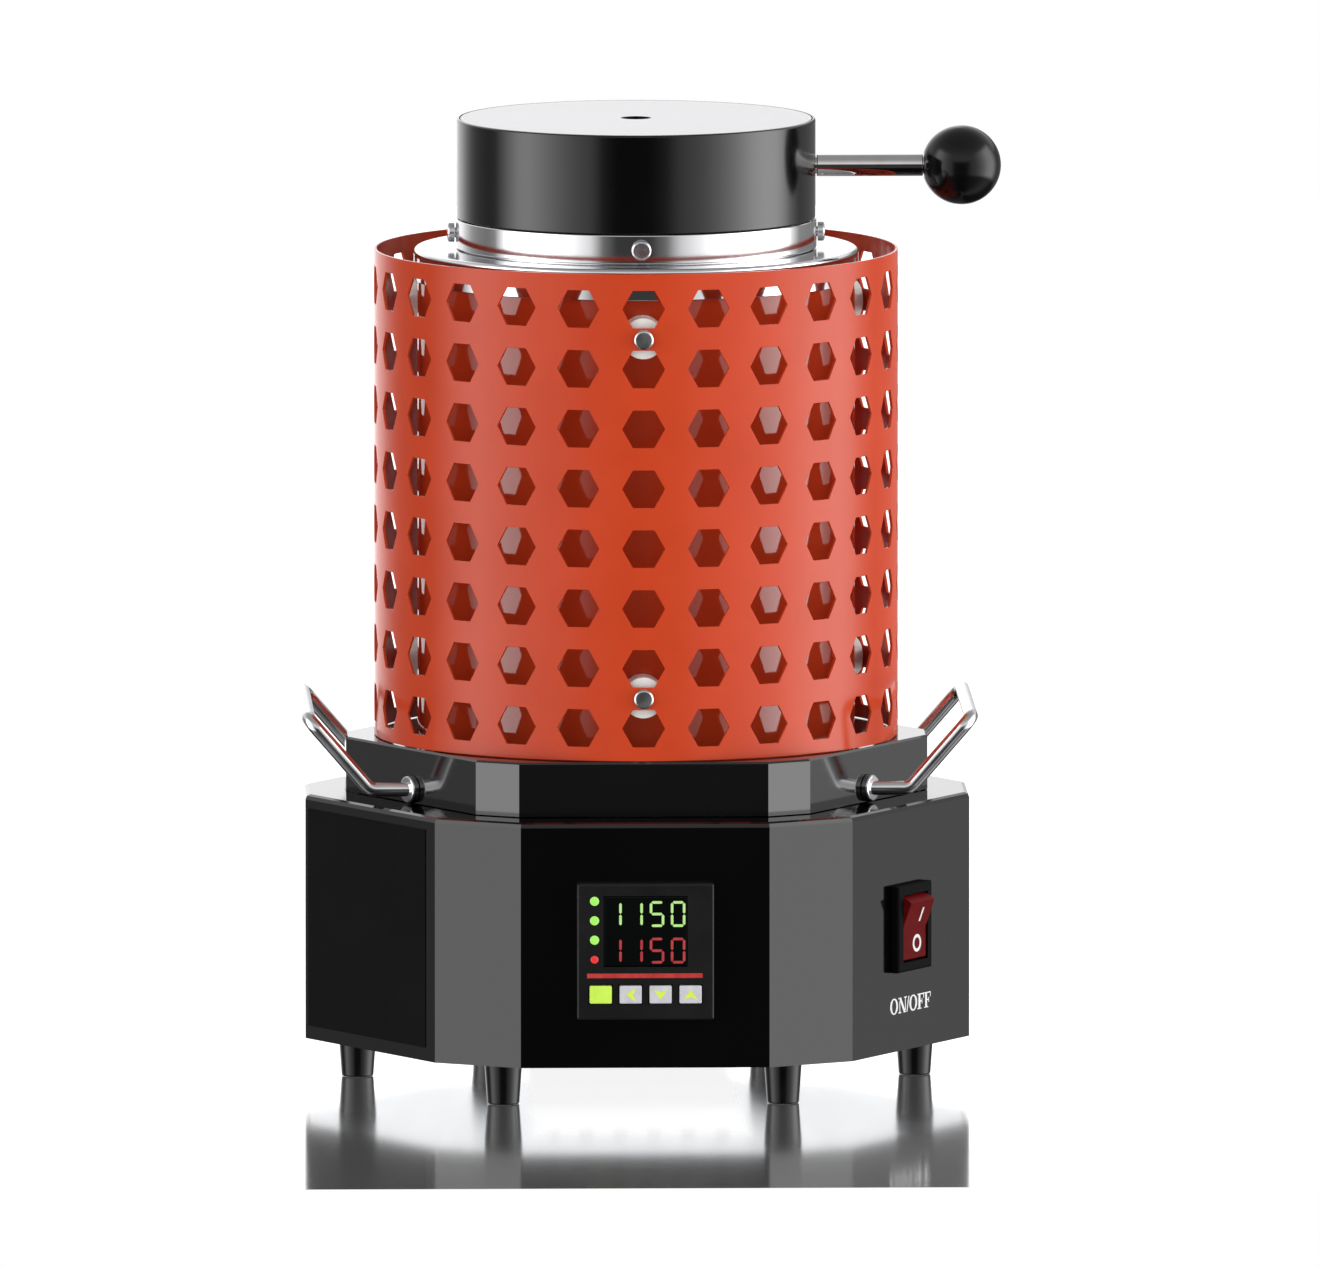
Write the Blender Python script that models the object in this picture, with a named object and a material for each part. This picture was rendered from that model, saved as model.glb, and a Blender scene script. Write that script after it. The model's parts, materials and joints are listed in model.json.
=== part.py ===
"""Electric gold melting furnace, modelled as its separate pieces at real size.

Lengths are in metres, +Z is up and the front with the controller faces -Y. The furnace is built round
its own upright axis, and the frame's origin is on the floor, at the middle of the furnace's width
between the outer ends of the left handle and the ball knob.
"""

import math

import bmesh
import bpy
from mathutils import Matrix, Vector

# Clearances and sheet that the whole furnace shares
GAP = 0.0003
OVERRUN = 0.002
SHEET = 0.0015

# Directions round the axis, in degrees from the front towards the right
LONG_FACES = (0, 60, 120, 180, 240, 300)
SHORT_FACES = (30, 90, 150, 210, 270, 330)
FRONT = 0
SWITCH_FACE = 60
BACK = 180

# Screws and nuts, one size all over
SCREW_RADIUS = 0.0018
SCREW_HEAD_RADIUS = 0.0035
SCREW_HEAD_HEIGHT = 0.0025
SCREW_HOLE_RADIUS = SCREW_RADIUS + GAP
NUT_RADIUS = 0.0038
NUT_HEIGHT = 0.0030
SCREW_TAIL = 0.0010

# Feet
FOOT_HEIGHT = 0.0154
FOOT_TOP_RADIUS = 0.0067
FOOT_BOTTOM_RADIUS = 0.0056
FOOT_INSET = 0.0187
FOOT_RECESS_RADIUS = 0.0041
FOOT_RECESS_DEPTH = 0.0090

# Lower housing, twelve-sided: six long faces, and six short ones that cut the corners between them
HOUSING_LEDGE = 0.0168
HOUSING_SHORT_FACE = 0.03425
HOUSING_HEIGHT = 0.0864
HOUSING_EDGE_RADIUS = 0.0018
HOUSING_FLOOR_FLANGE = 0.0198
HOUSING_TOP_SEAT = 0.0190

# Bottom plate
VENT_COUNT = 6
VENT_LENGTH = 0.0640
VENT_WIDTH = 0.0050
VENT_PITCH = 0.0120

# Upper plinth, twelve-sided like the housing
PLINTH_MARGIN = 0.00075
PLINTH_SHORT_FACE = 0.01727
PLINTH_HEIGHT = 0.0191
PLINTH_EDGE_RADIUS = 0.0007
PLINTH_TOP_SEAT = 0.0100
PLINTH_LUG_WIDTH = 0.0140
PLINTH_LUG_DEPTH = 0.0140

# Inner drum and its floor screws
DRUM_RADIUS = 0.0770
DRUM_WALL = 0.0010
DRUM_FLOOR = 0.0015
DRUM_HEIGHT = 0.1705
DRUM_SCREW_INSET = 0.0110
DRUM_SCREW_FACES = (30, 150, 270)

# Top flange of the drum, with a skirt outside the drum and a neck under the lid
FLANGE_SHEET = 0.0010
FLANGE_SKIRT = 0.0100
FLANGE_BEAD_RADIUS = 0.0015
NECK_SHORTFALL = 0.0010

# Polished collar round the neck
COLLAR_INSET = 0.0134
COLLAR_WALL = 0.0012
COLLAR_HEIGHT = 0.0102

# Perforated shell
AIR_GAP = 0.01425
SHELL_SHEET = 0.0010
SHELL_RISE = 0.0011
SHELL_COLUMNS = 25
SHELL_ROWS = 8
SHELL_FIRST_ROW = 0.0115
SHELL_TOP_MARGIN = 0.0124
HOLE_ACROSS_FLATS = 0.0132
HOLE_ACROSS_CORNERS = 0.0152
SPACER_RADIUS = 0.00725
SPACER_DIRECTIONS = (0, 120, 240)
SPACER_ROW_GAPS = (0, 6)

# Chamber and insulation
BASE_INSULATION_HEIGHT = 0.0264
SLEEVE_THICKNESS = 0.0314
CHAMBER_WALL = 0.0060
CHAMBER_TOP_MARGIN = 0.0040
CHAMBER_FLOOR_MARGIN = 0.0045
CHAMBER_FLOOR_HEIGHT = 0.0080
MOUTH_LIP = 0.0015

# Heating coil and its two leads
COIL_TURNS = 7
COIL_POINTS_PER_TURN = 16
COIL_WIRE_RADIUS = 0.0012
COIL_CLEARANCE = 0.0005
COIL_BOTTOM_MARGIN = 0.0200
COIL_TOP_MARGIN = 0.0140
LEAD_BEND_RADIUS = 0.0030
LEAD_OFFSET_ANGLE = 9
LEAD_CHANNEL_WIDTH = 0.0040
LEAD_RUN_DEPTH = 0.0080
BUSHING_RADIUS = 0.0030
BUSHING_BORE_RADIUS = 0.0017
BUSHING_DROP = 0.0050

# Ceramic terminal block of the heating coil, under the plinth's top
HEATER_TERMINALS_WIDTH = 0.0300
HEATER_TERMINALS_DEPTH = 0.0120
HEATER_TERMINALS_HEIGHT = 0.0140
HEATER_TERMINALS_INSET = 0.0170

# Thermocouple
PROBE_RADIUS = 0.0025
PROBE_INSET = 0.0085
PROBE_RISE = 0.0550
PROBE_DROP = 0.0140
GLAND_RADIUS = 0.0065
GLAND_NECK_RADIUS = 0.0042
GLAND_HEIGHT = 0.0070

# Crucible and its pad
PAD_RIM = 0.0010
PAD_HEIGHT = 0.0060
CRUCIBLE_HEIGHT = 0.0850
CRUCIBLE_CLEARANCE = 0.0100
CRUCIBLE_TAPER = 0.0055
CRUCIBLE_WALL = 0.0060
CRUCIBLE_FLOOR = 0.0090

# Lid
LID_INSET = 0.0004
LID_WALL = 0.0010
LID_HEIGHT = 0.0349
LID_LIP_WIDTH = 0.0060
LID_EDGE_RADIUS = 0.0008
LID_PLATE_SHEET = 0.0015
LID_HOLE_RADIUS = 0.0050
LID_PLUG_CLEARANCE = 0.0020
LID_PLUG_DROP = 0.0145

# Side rod of the lid and its ball knob
ROD_RADIUS = 0.0039
ROD_THREAD_RADIUS = 0.0030
ROD_HEIGHT = 0.0179
ROD_INNER_LENGTH = 0.0122
ROD_NUT_RADIUS = 0.0058
ROD_NUT_LENGTH = 0.0050
KNOB_RADIUS = 0.0140
KNOB_STAND_OFF = 0.0513
KNOB_FLAT_RADIUS = 0.0046
KNOB_BORE_DEPTH = 0.0130

# Bent rod handles
HANDLE_ROD_RADIUS = 0.0025
HANDLE_SPREAD = 0.0019
HANDLE_STUB_RISE = 0.0048
HANDLE_STUB_REACH = 0.0019
HANDLE_BAR_REACH = 0.0216
HANDLE_BAR_RISE = 0.0297
HANDLE_INNER_LENGTH = 0.0230
HANDLE_BEND_RADIUS = 0.0050
HANDLE_FLANGE_RADIUS = 0.0048
HANDLE_FLANGE_THICKNESS = 0.0024
HANDLE_NUT_RADIUS = 0.0042
HANDLE_NUT_THICKNESS = 0.0030

# Temperature controller in the front face
CONTROLLER_HEIGHT = 0.0569
BEZEL_SIZE = 0.0480
BEZEL_DEPTH = 0.0050
BEZEL_FRONT = 0.0022
BEZEL_RIM = 0.0016
BEZEL_EDGE_RADIUS = 0.0008
CUTOUT_SIZE = 0.0450
CASE_DEPTH = 0.0620
CASE_SET_BACK = 0.0008
WINDOW_WIDTH = 0.0294
WINDOW_HEIGHT = 0.0250
WINDOW_RISE = 0.0072
WINDOW_RECESS = 0.0004
BUTTON_WIDTH = 0.0078
BUTTON_HEIGHT = 0.0063
BUTTON_PITCH = 0.0105
BUTTON_DROP = 0.0150
BUTTON_PROUD = 0.0009
BUTTON_LIP = 0.0008
BUTTON_LIP_THICKNESS = 0.0010
CLIP_WIDTH = 0.0040
CLIP_DEPTH = 0.0080
TERMINALS_DEPTH = 0.0080
TERMINALS_MARGIN = 0.0030
BARRIER_COUNT = 6
BARRIER_SHARE = 0.25
BARRIER_DEPTH = 0.0040

# Rocker switch in the right front face
SWITCH_OFFSET = -0.0027
SWITCH_HEIGHT = 0.0589
SWITCH_WIDTH = 0.0250
SWITCH_TALL = 0.0306
SWITCH_PROUD = 0.0030
SWITCH_RIM = 0.0034
SWITCH_CASE_INSET = 0.0018
SWITCH_CASE_DEPTH = 0.0200
SWITCH_CAVITY_DEPTH = 0.0110
SWITCH_EDGE_RADIUS = 0.0008
ROCKER_PIVOT_DEPTH = 0.0005
ROCKER_LIFT_ANGLE = 26
ROCKER_DISH_ANGLE = 10
ROCKER_TILT = 10
ROCKER_BACK_DEPTH = 0.0030
TAG_WIDTH = 0.0048
TAG_THICKNESS = 0.0008
TAG_LENGTH = 0.0090

# Mains inlet in the back face
INLET_HEIGHT = 0.0450
INLET_FLANGE_WIDTH = 0.0500
INLET_FLANGE_TALL = 0.0230
INLET_FLANGE_THICKNESS = 0.0026
INLET_CASE_WIDTH = 0.0280
INLET_CASE_TALL = 0.0200
INLET_CASE_DEPTH = 0.0200
INLET_SOCKET_WIDTH = 0.0244
INLET_SOCKET_TALL = 0.0166
INLET_SOCKET_DEPTH = 0.0170
INLET_SOCKET_CHAMFER = 0.0040
INLET_SCREW_SPREAD = 0.0200
INLET_EDGE_RADIUS = 0.0006
PIN_WIDTH = 0.0020
PIN_TALL = 0.0040
PIN_SPREAD = 0.0070
PIN_STAGGER = 0.0020
PIN_SET_BACK = 0.0020
PIN_TAIL = 0.0070

# Relay on its heat sink, and the mains terminal block, on the bottom plate
HEATSINK_WIDTH = 0.0500
HEATSINK_LENGTH = 0.0640
HEATSINK_HEIGHT = 0.0260
HEATSINK_BASE = 0.0050
HEATSINK_FINS = 6
HEATSINK_FIN_SHARE = 0.35
HEATSINK_INSET = 0.0450
HEATSINK_SET_BACK = 0.0180
RELAY_WIDTH = 0.0440
RELAY_LENGTH = 0.0580
RELAY_HEIGHT = 0.0220
RELAY_STEP = 0.0060
RELAY_SHOULDER = 0.0120
BLOCK_LENGTH = 0.0600
BLOCK_WIDTH = 0.0200
BLOCK_HEIGHT = 0.0160
BLOCK_INSET = 0.0380
BLOCK_SIDE_INSET = 0.0600

# Shading: edges sharper than this many degrees look sharp, and folds of the sheet housings always do
CREASE_ANGLE = 50
FOLD_ANGLE = 20

# Roundness: how many flat sides a round piece gets
LARGE_SIDES = 28
CRUCIBLE_SIDES = 20
FOOT_SIDES = 10
SPACER_SIDES = 8
ROD_SIDES = 12
SCREW_SIDES = 6
NUT_SIDES = 6
KNOB_SIDES = 16
KNOB_ARC_STEPS = 7
HOLE_SIDES = 10
BEND_STEPS = 3
LEAD_BEND_STEPS = 2

# Heights above the floor, stacked from the pieces below
HOUSING_BOTTOM = FOOT_HEIGHT
PLATE_BOTTOM = HOUSING_BOTTOM + GAP
PLATE_TOP = PLATE_BOTTOM + SHEET
HOUSING_FLANGE_BOTTOM = PLATE_TOP + GAP
HOUSING_FLANGE_TOP = HOUSING_FLANGE_BOTTOM + SHEET
HOUSING_TOP = HOUSING_BOTTOM + HOUSING_HEIGHT
PLINTH_BOTTOM = HOUSING_TOP + GAP
PLINTH_TOP = PLINTH_BOTTOM + PLINTH_HEIGHT
PLINTH_CEILING = PLINTH_TOP - SHEET
DRUM_BOTTOM = PLINTH_TOP + GAP
DRUM_INSIDE_BOTTOM = DRUM_BOTTOM + DRUM_FLOOR
DRUM_TOP = DRUM_BOTTOM + DRUM_HEIGHT
FLANGE_UNDERSIDE = DRUM_TOP + GAP
FLANGE_TOP = FLANGE_UNDERSIDE + FLANGE_SHEET
SHELL_BOTTOM = PLINTH_TOP + GAP
SHELL_HEIGHT = DRUM_HEIGHT + SHELL_RISE
SHELL_ROW_PITCH = (SHELL_HEIGHT - SHELL_FIRST_ROW - SHELL_TOP_MARGIN) / (SHELL_ROWS - 1)
COLLAR_BOTTOM = FLANGE_TOP + GAP
COLLAR_TOP = COLLAR_BOTTOM + COLLAR_HEIGHT
BASE_INSULATION_BOTTOM = DRUM_INSIDE_BOTTOM + GAP
BASE_INSULATION_TOP = BASE_INSULATION_BOTTOM + BASE_INSULATION_HEIGHT
CHAMBER_BOTTOM = BASE_INSULATION_TOP + GAP
CHAMBER_TOP = DRUM_TOP - CHAMBER_TOP_MARGIN
CHAMBER_FLOOR_TOP = CHAMBER_BOTTOM + CHAMBER_FLOOR_HEIGHT
PAD_BOTTOM = CHAMBER_FLOOR_TOP + GAP
CRUCIBLE_BOTTOM = PAD_BOTTOM + PAD_HEIGHT + GAP
LID_BOTTOM = COLLAR_TOP + GAP
LID_TOP = LID_BOTTOM + LID_HEIGHT
LID_PLATE_BOTTOM = LID_TOP - LID_PLATE_SHEET
ROD_Z = LID_BOTTOM + ROD_HEIGHT
HANDLE_STUB_Z = PLINTH_BOTTOM + HANDLE_STUB_RISE
HANDLE_BAR_Z = PLINTH_BOTTOM + HANDLE_BAR_RISE

# Radii that follow from the pieces they fit
DRUM_INSIDE_RADIUS = DRUM_RADIUS - DRUM_WALL
DRUM_SCREW_CIRCLE_RADIUS = DRUM_RADIUS - DRUM_SCREW_INSET
SHELL_RADIUS = DRUM_RADIUS + AIR_GAP + SHELL_SHEET
COLLAR_RADIUS = DRUM_RADIUS - COLLAR_INSET
SKIRT_INSIDE_RADIUS = DRUM_RADIUS + GAP
SKIRT_RADIUS = SKIRT_INSIDE_RADIUS + FLANGE_SHEET
NECK_RADIUS = COLLAR_RADIUS - COLLAR_WALL - GAP
NECK_INSIDE_RADIUS = NECK_RADIUS - FLANGE_SHEET
INSULATION_RADIUS = DRUM_INSIDE_RADIUS - GAP
MOUTH_RING_RADIUS = NECK_INSIDE_RADIUS - GAP
SLEEVE_INSIDE_RADIUS = INSULATION_RADIUS - SLEEVE_THICKNESS
CHAMBER_OUTER_RADIUS = SLEEVE_INSIDE_RADIUS - GAP
CHAMBER_RADIUS = CHAMBER_OUTER_RADIUS - CHAMBER_WALL
MOUTH_RADIUS = CHAMBER_RADIUS - MOUTH_LIP
CHAMBER_FLOOR_RADIUS = CHAMBER_RADIUS - CHAMBER_FLOOR_MARGIN
HEATER_TERMINALS_REACH = DRUM_RADIUS - HEATER_TERMINALS_INSET
COIL_RADIUS = CHAMBER_RADIUS - COIL_CLEARANCE - COIL_WIRE_RADIUS
COIL_BOTTOM = CHAMBER_BOTTOM + COIL_BOTTOM_MARGIN
COIL_TOP = CHAMBER_TOP - COIL_TOP_MARGIN
LEAD_OUTER_RADIUS = SLEEVE_INSIDE_RADIUS + LEAD_CHANNEL_WIDTH
LEAD_RUN_Z = DRUM_BOTTOM - LEAD_RUN_DEPTH
CRUCIBLE_TOP_RADIUS = CHAMBER_RADIUS - CRUCIBLE_CLEARANCE
CRUCIBLE_FOOT_RADIUS = CRUCIBLE_TOP_RADIUS - CRUCIBLE_TAPER
PAD_RADIUS = CRUCIBLE_FOOT_RADIUS + PAD_RIM
PROBE_PLACE_RADIUS = CHAMBER_RADIUS - PROBE_INSET
LID_RADIUS = COLLAR_RADIUS - LID_INSET
LID_INSIDE_RADIUS = LID_RADIUS - LID_WALL
LID_PLUG_RADIUS = MOUTH_RADIUS - LID_PLUG_CLEARANCE
ROD_INNER_END = LID_INSIDE_RADIUS - ROD_INNER_LENGTH
KNOB_PLACE = LID_RADIUS + KNOB_STAND_OFF

# Faces of the plinth and the housing: an apothem is the distance from the axis to a face. A short face
# cuts the corner where two long ones would meet.
CORNER_SHARE = 1 / math.cos(math.radians(30))
CUT_SHARE = 1 / (2 * math.tan(math.radians(60)))
PLINTH_LONG_APOTHEM = SHELL_RADIUS + PLINTH_MARGIN
PLINTH_SHORT_APOTHEM = PLINTH_LONG_APOTHEM * CORNER_SHARE - PLINTH_SHORT_FACE * CUT_SHARE
PLINTH_TOP_OPENING_RADIUS = DRUM_SCREW_CIRCLE_RADIUS - PLINTH_TOP_SEAT
HOUSING_LONG_APOTHEM = PLINTH_LONG_APOTHEM + HOUSING_LEDGE
HOUSING_SHORT_APOTHEM = HOUSING_LONG_APOTHEM * CORNER_SHARE - HOUSING_SHORT_FACE * CUT_SHARE
HOUSING_TOP_OPENING_RADIUS = PLINTH_LONG_APOTHEM - HOUSING_TOP_SEAT
HOUSING_FLOOR_OPENING_RADIUS = HOUSING_LONG_APOTHEM - HOUSING_FLOOR_FLANGE
FOOT_CIRCLE_RADIUS = HOUSING_SHORT_APOTHEM - FOOT_INSET

# Places that follow from those faces: the handles stand on the middle of the plinth's side faces
HANDLE_HALF_SPAN = PLINTH_LONG_APOTHEM * math.cos(math.radians(SWITCH_FACE)) + HANDLE_SPREAD
HANDLE_STUB_END = PLINTH_LONG_APOTHEM + HANDLE_STUB_REACH
HANDLE_BAR_PLACE = HANDLE_STUB_END + HANDLE_BAR_REACH
HANDLE_INNER_END = PLINTH_LONG_APOTHEM - HANDLE_INNER_LENGTH
HEATSINK_PLACE_X = HEATSINK_INSET - HOUSING_FLOOR_OPENING_RADIUS
BLOCK_PLACE_X = HOUSING_FLOOR_OPENING_RADIUS - BLOCK_INSET
BLOCK_PLACE_Y = HOUSING_FLOOR_OPENING_RADIUS - BLOCK_SIDE_INSET

# The frame's origin is at the middle of the furnace's width
KNOB_REACH = KNOB_PLACE + KNOB_RADIUS
HANDLE_REACH = HANDLE_BAR_PLACE + HANDLE_ROD_RADIUS
AXIS_X = (HANDLE_REACH - KNOB_REACH) / 2


def heading(degrees):
    """Unit vector away from the axis, in degrees from the front towards the right."""
    angle = math.radians(degrees)
    return Vector((math.sin(angle), -math.cos(angle), 0))


def turned_to(degrees):
    """Turns a thing that is drawn facing the front so that it faces this direction."""
    return Matrix.Rotation(math.radians(degrees), 4, "Z")


def upright(degrees, radius, height):
    """Place of an upright piece at this direction, distance from the axis and height."""
    return Matrix.Translation(heading(degrees) * radius + Vector((0, 0, height))) @ turned_to(degrees)


def outward(degrees, radius, height):
    """Place of a piece whose own +Z points away from the axis in this direction."""
    return upright(degrees, radius, height) @ Matrix.Rotation(math.pi / 2, 4, "X")


def clear_scene():
    for item in list(bpy.data.objects):
        bpy.data.objects.remove(item, do_unlink=True)


def finish(name, colour, roughness, metallic):
    """A material by its colour, roughness and metallic value."""
    material = bpy.data.materials.new(name)
    material.use_nodes = True
    shader = material.node_tree.nodes["Principled BSDF"]
    shader.inputs["Base Color"].default_value = (*colour, 1)
    shader.inputs["Roughness"].default_value = roughness
    shader.inputs["Metallic"].default_value = metallic
    return material


def empty(name, parent, place):
    """A named place that pieces hang on."""
    guide = bpy.data.objects.new(name, None)
    bpy.context.scene.collection.objects.link(guide)
    guide.parent = parent
    guide.matrix_local = place
    return guide


def piece(name, shape, material, parent, place=None, smooth=True, crease=CREASE_ANGLE):
    """Makes an object of a shape, and frees the shape; edges sharper than the crease stay sharp."""
    bmesh.ops.remove_doubles(shape, verts=shape.verts, dist=GAP / 100)
    bmesh.ops.recalc_face_normals(shape, faces=shape.faces)
    mesh = bpy.data.meshes.new(name)
    shape.to_mesh(mesh)
    shape.free()
    if material:
        mesh.materials.append(material)
    if smooth:
        mesh.shade_smooth()
        mesh.set_sharp_from_angle(angle=math.radians(crease))
    item = bpy.data.objects.new(name, mesh)
    bpy.context.scene.collection.objects.link(item)
    item.parent = parent
    if place is not None:
        item.matrix_local = place
    return item


def combine(item, other, operation):
    step = item.modifiers.new(other.name, "BOOLEAN")
    step.solver = "EXACT"
    step.operation = operation
    step.object = other
    other.hide_render = True
    other.display_type = "WIRE"


def cut(item, name, shape, place=None):
    """Cuts a shape out of a piece."""
    combine(item, piece(name, shape, None, item.parent, place, smooth=False), "DIFFERENCE")


def add(item, name, shape, place=None):
    """Welds a shape onto a piece."""
    combine(item, piece(name, shape, None, item.parent, place, smooth=False), "UNION")


def joined(shapes):
    """One shape of several that stay apart."""
    whole = bmesh.new()
    for shape in shapes:
        part = bpy.data.meshes.new("joined")
        shape.to_mesh(part)
        shape.free()
        whole.from_mesh(part)
        bpy.data.meshes.remove(part)
    return whole


def moved(shape, place):
    bmesh.ops.transform(shape, matrix=place, verts=shape.verts)
    return shape


def turned(profile, sides):
    """Spins a section of (radius, height) points round the Z axis, starting and ending on it or closed."""
    shape = bmesh.new()
    corners = [shape.verts.new((radius, 0, height)) for radius, height in profile]
    edges = [shape.edges.new(pair) for pair in zip(corners, corners[1:])]
    if profile[0][0] > 0:
        edges.append(shape.edges.new((corners[-1], corners[0])))
    bmesh.ops.spin(
        shape,
        geom=corners + edges,
        axis=(0, 0, 1),
        cent=(0, 0, 0),
        steps=sides,
        angle=math.tau,
        use_duplicate=False,
    )
    bmesh.ops.remove_doubles(shape, verts=shape.verts, dist=GAP / 100)
    bmesh.ops.rotate(
        shape, verts=shape.verts, cent=(0, 0, 0), matrix=Matrix.Rotation(math.pi / sides, 3, "Z")
    )
    return shape


def cylinder(radius, low, high, sides):
    return turned([(0, low), (radius, low), (radius, high), (0, high)], sides)


def tube(inside, outside, low, high, sides):
    return turned([(inside, low), (outside, low), (outside, high), (inside, high)], sides)


def prism(outline, low, high):
    """Extrudes an outline of (x, y) points from one height to another."""
    shape = bmesh.new()
    face = shape.faces.new([shape.verts.new((x, y, low)) for x, y in outline])
    grown = bmesh.ops.extrude_face_region(shape, geom=[face])
    top = [item for item in grown["geom"] if isinstance(item, bmesh.types.BMVert)]
    bmesh.ops.translate(shape, verts=top, vec=(0, 0, high - low))
    return shape


def block(low, high):
    """A box between two corners."""
    outline = ((low[0], low[1]), (high[0], low[1]), (high[0], high[1]), (low[0], high[1]))
    return prism(outline, low[2], high[2])


def face_block(width, tall, front, back, rise=0):
    """A box on a face of the housing: centred from left to right, from a front depth to a back depth."""
    return block((-width / 2, front, rise - tall / 2), (width / 2, back, rise + tall / 2))


def side_profile(outline, width):
    """Extrudes an outline of (depth, height) points from left to right."""
    shape = prism(outline, -width / 2, width / 2)
    turn = Matrix(((0, 0, 1, 0), (1, 0, 0, 0), (0, 1, 0, 0), (0, 0, 0, 1)))
    return moved(shape, turn)


def rounded_edges(shape, radius, wanted, steps=2):
    """Rounds the edges whose middle passes the test."""
    edges = [edge for edge in shape.edges if wanted((edge.verts[0].co + edge.verts[1].co) / 2, edge)]
    bmesh.ops.bevel(
        shape, geom=edges, offset=radius, offset_type="OFFSET", segments=steps, profile=0.5, affect="EDGES"
    )
    return shape


def twelve_sided(long_apothem, short_apothem):
    """Corners of a twelve-sided outline with long faces at the front and every 60 degrees."""
    turn = math.radians(SHORT_FACES[0] - LONG_FACES[0])
    corners = []
    for face in LONG_FACES:
        for near, far, side in ((short_apothem, long_apothem, -1), (short_apothem, long_apothem, 1)):
            half_face = (near - far * math.cos(turn)) / math.sin(turn)
            along = turned_to(face) @ Vector((side * half_face, 0, 0))
            corner = heading(face) * long_apothem + along
            corners.append((corner.x, corner.y))
    return corners


def screw(length):
    """A screw whose head's underside is at height 0 and whose shank runs down from it."""
    return turned(
        [
            (0, SCREW_HEAD_HEIGHT),
            (SCREW_HEAD_RADIUS, SCREW_HEAD_HEIGHT),
            (SCREW_HEAD_RADIUS, 0),
            (SCREW_RADIUS, 0),
            (SCREW_RADIUS, -length),
            (0, -length),
        ],
        SCREW_SIDES,
    )


def rod_shape(path, radius, resolution):
    """The shape of a round rod bent along a path, to be joined with others."""
    line = rod("rod_line", path, radius, resolution, None, None)
    mesh = bpy.data.meshes.new_from_object(line)
    bpy.data.objects.remove(line, do_unlink=True)
    shape = bmesh.new()
    shape.from_mesh(mesh)
    bpy.data.meshes.remove(mesh)
    return shape


def comb(length, depth, tooth_depth, teeth, share):
    """Outline of a bar with teeth: its back is at 0, and each tooth takes this share of its pitch."""
    pitch = length / teeth
    tooth = pitch * share
    first = -length / 2 + tooth / 2
    step = (length - tooth) / (teeth - 1)
    outline = [(length / 2, 0), (-length / 2, 0)]
    for index in range(teeth):
        centre = first + step * index
        left = (centre - tooth / 2, depth - tooth_depth)
        right = (centre + tooth / 2, depth - tooth_depth)
        points = [left, (left[0], depth), (right[0], depth), right]
        if index == 0:
            points = points[1:]
        if index == teeth - 1:
            points = points[:-1]
        outline += points
    return outline


def rounded_path(points, radius, steps):
    """A path through points whose corners are arcs of this radius."""
    path = [Vector(points[0])]
    for before, corner, after in zip(points, points[1:], points[2:]):
        corner = Vector(corner)
        arrive = (Vector(before) - corner).normalized()
        leave = (Vector(after) - corner).normalized()
        half = arrive.angle(leave) / 2
        reach = radius / math.tan(half)
        centre = corner + (arrive + leave).normalized() * radius / math.sin(half)
        start = (corner + arrive * reach - centre).normalized()
        end = (corner + leave * reach - centre).normalized()
        for step in range(steps + 1):
            path.append(centre + start.slerp(end, step / steps) * radius)
    path.append(Vector(points[-1]))
    return path


def rod(name, path, radius, resolution, material, parent):
    """A round rod or wire bent along a path."""
    curve = bpy.data.curves.new(name, "CURVE")
    curve.dimensions = "3D"
    curve.bevel_depth = radius
    curve.bevel_resolution = resolution
    curve.use_fill_caps = True
    spline = curve.splines.new("POLY")
    spline.points.add(len(path) - 1)
    for point, place in zip(spline.points, path):
        point.co = (*place, 1)
    if material:
        curve.materials.append(material)
    item = bpy.data.objects.new(name, curve)
    bpy.context.scene.collection.objects.link(item)
    item.parent = parent
    return item


def least_gap(path, radius):
    """Smallest gap between stretches of a wound wire that aren't neighbours along it."""
    points = []
    for start, end in zip(path, path[1:]):
        steps = max(1, round((end - start).length / (2 * radius)))
        points += [start.lerp(end, step / steps) for step in range(steps)]
    travelled = [0]
    for start, end in zip(points, points[1:]):
        travelled.append(travelled[-1] + (end - start).length)
    apart = [
        (points[first] - points[second]).length
        for first in range(len(points))
        for second in range(first)
        if travelled[first] - travelled[second] > math.tau * radius
    ]
    return min(apart) - 2 * radius


def make_feet(axis, black_plastic):
    """Six tapered feet, each in one with the screw up its recess and the nut above the floor flange."""
    nut_bottom = HOUSING_FLANGE_TOP + GAP
    nut_top = nut_bottom + NUT_HEIGHT
    profile = [
        (0, FOOT_RECESS_DEPTH),
        (FOOT_RECESS_RADIUS, FOOT_RECESS_DEPTH),
        (FOOT_RECESS_RADIUS, 0),
        (FOOT_BOTTOM_RADIUS, 0),
        (FOOT_TOP_RADIUS, FOOT_HEIGHT),
        (SCREW_RADIUS, FOOT_HEIGHT),
        (SCREW_RADIUS, nut_bottom),
        (NUT_RADIUS, nut_bottom),
        (NUT_RADIUS, nut_top),
        (0, nut_top),
    ]
    for index, face in enumerate(SHORT_FACES):
        place = upright(face, FOOT_CIRCLE_RADIUS, 0)
        piece(f"foot_{index + 1}", turned(profile, FOOT_SIDES), black_plastic, axis, place)


def holes_up(directions, radius, hole_radius, low, high):
    """Upright hole cutters round the axis."""
    places = [upright(turn, radius, 0) for turn in directions]
    return joined([moved(cylinder(hole_radius, low, high, SCREW_SIDES), place) for place in places])


def holes_across(directions, hole_radius, inner, outer, heights):
    """Hole cutters that point away from the axis."""
    return joined(
        [
            moved(cylinder(hole_radius, inner, outer, SCREW_SIDES), outward(turn, 0, height))
            for turn in directions
            for height in heights
        ]
    )


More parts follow.
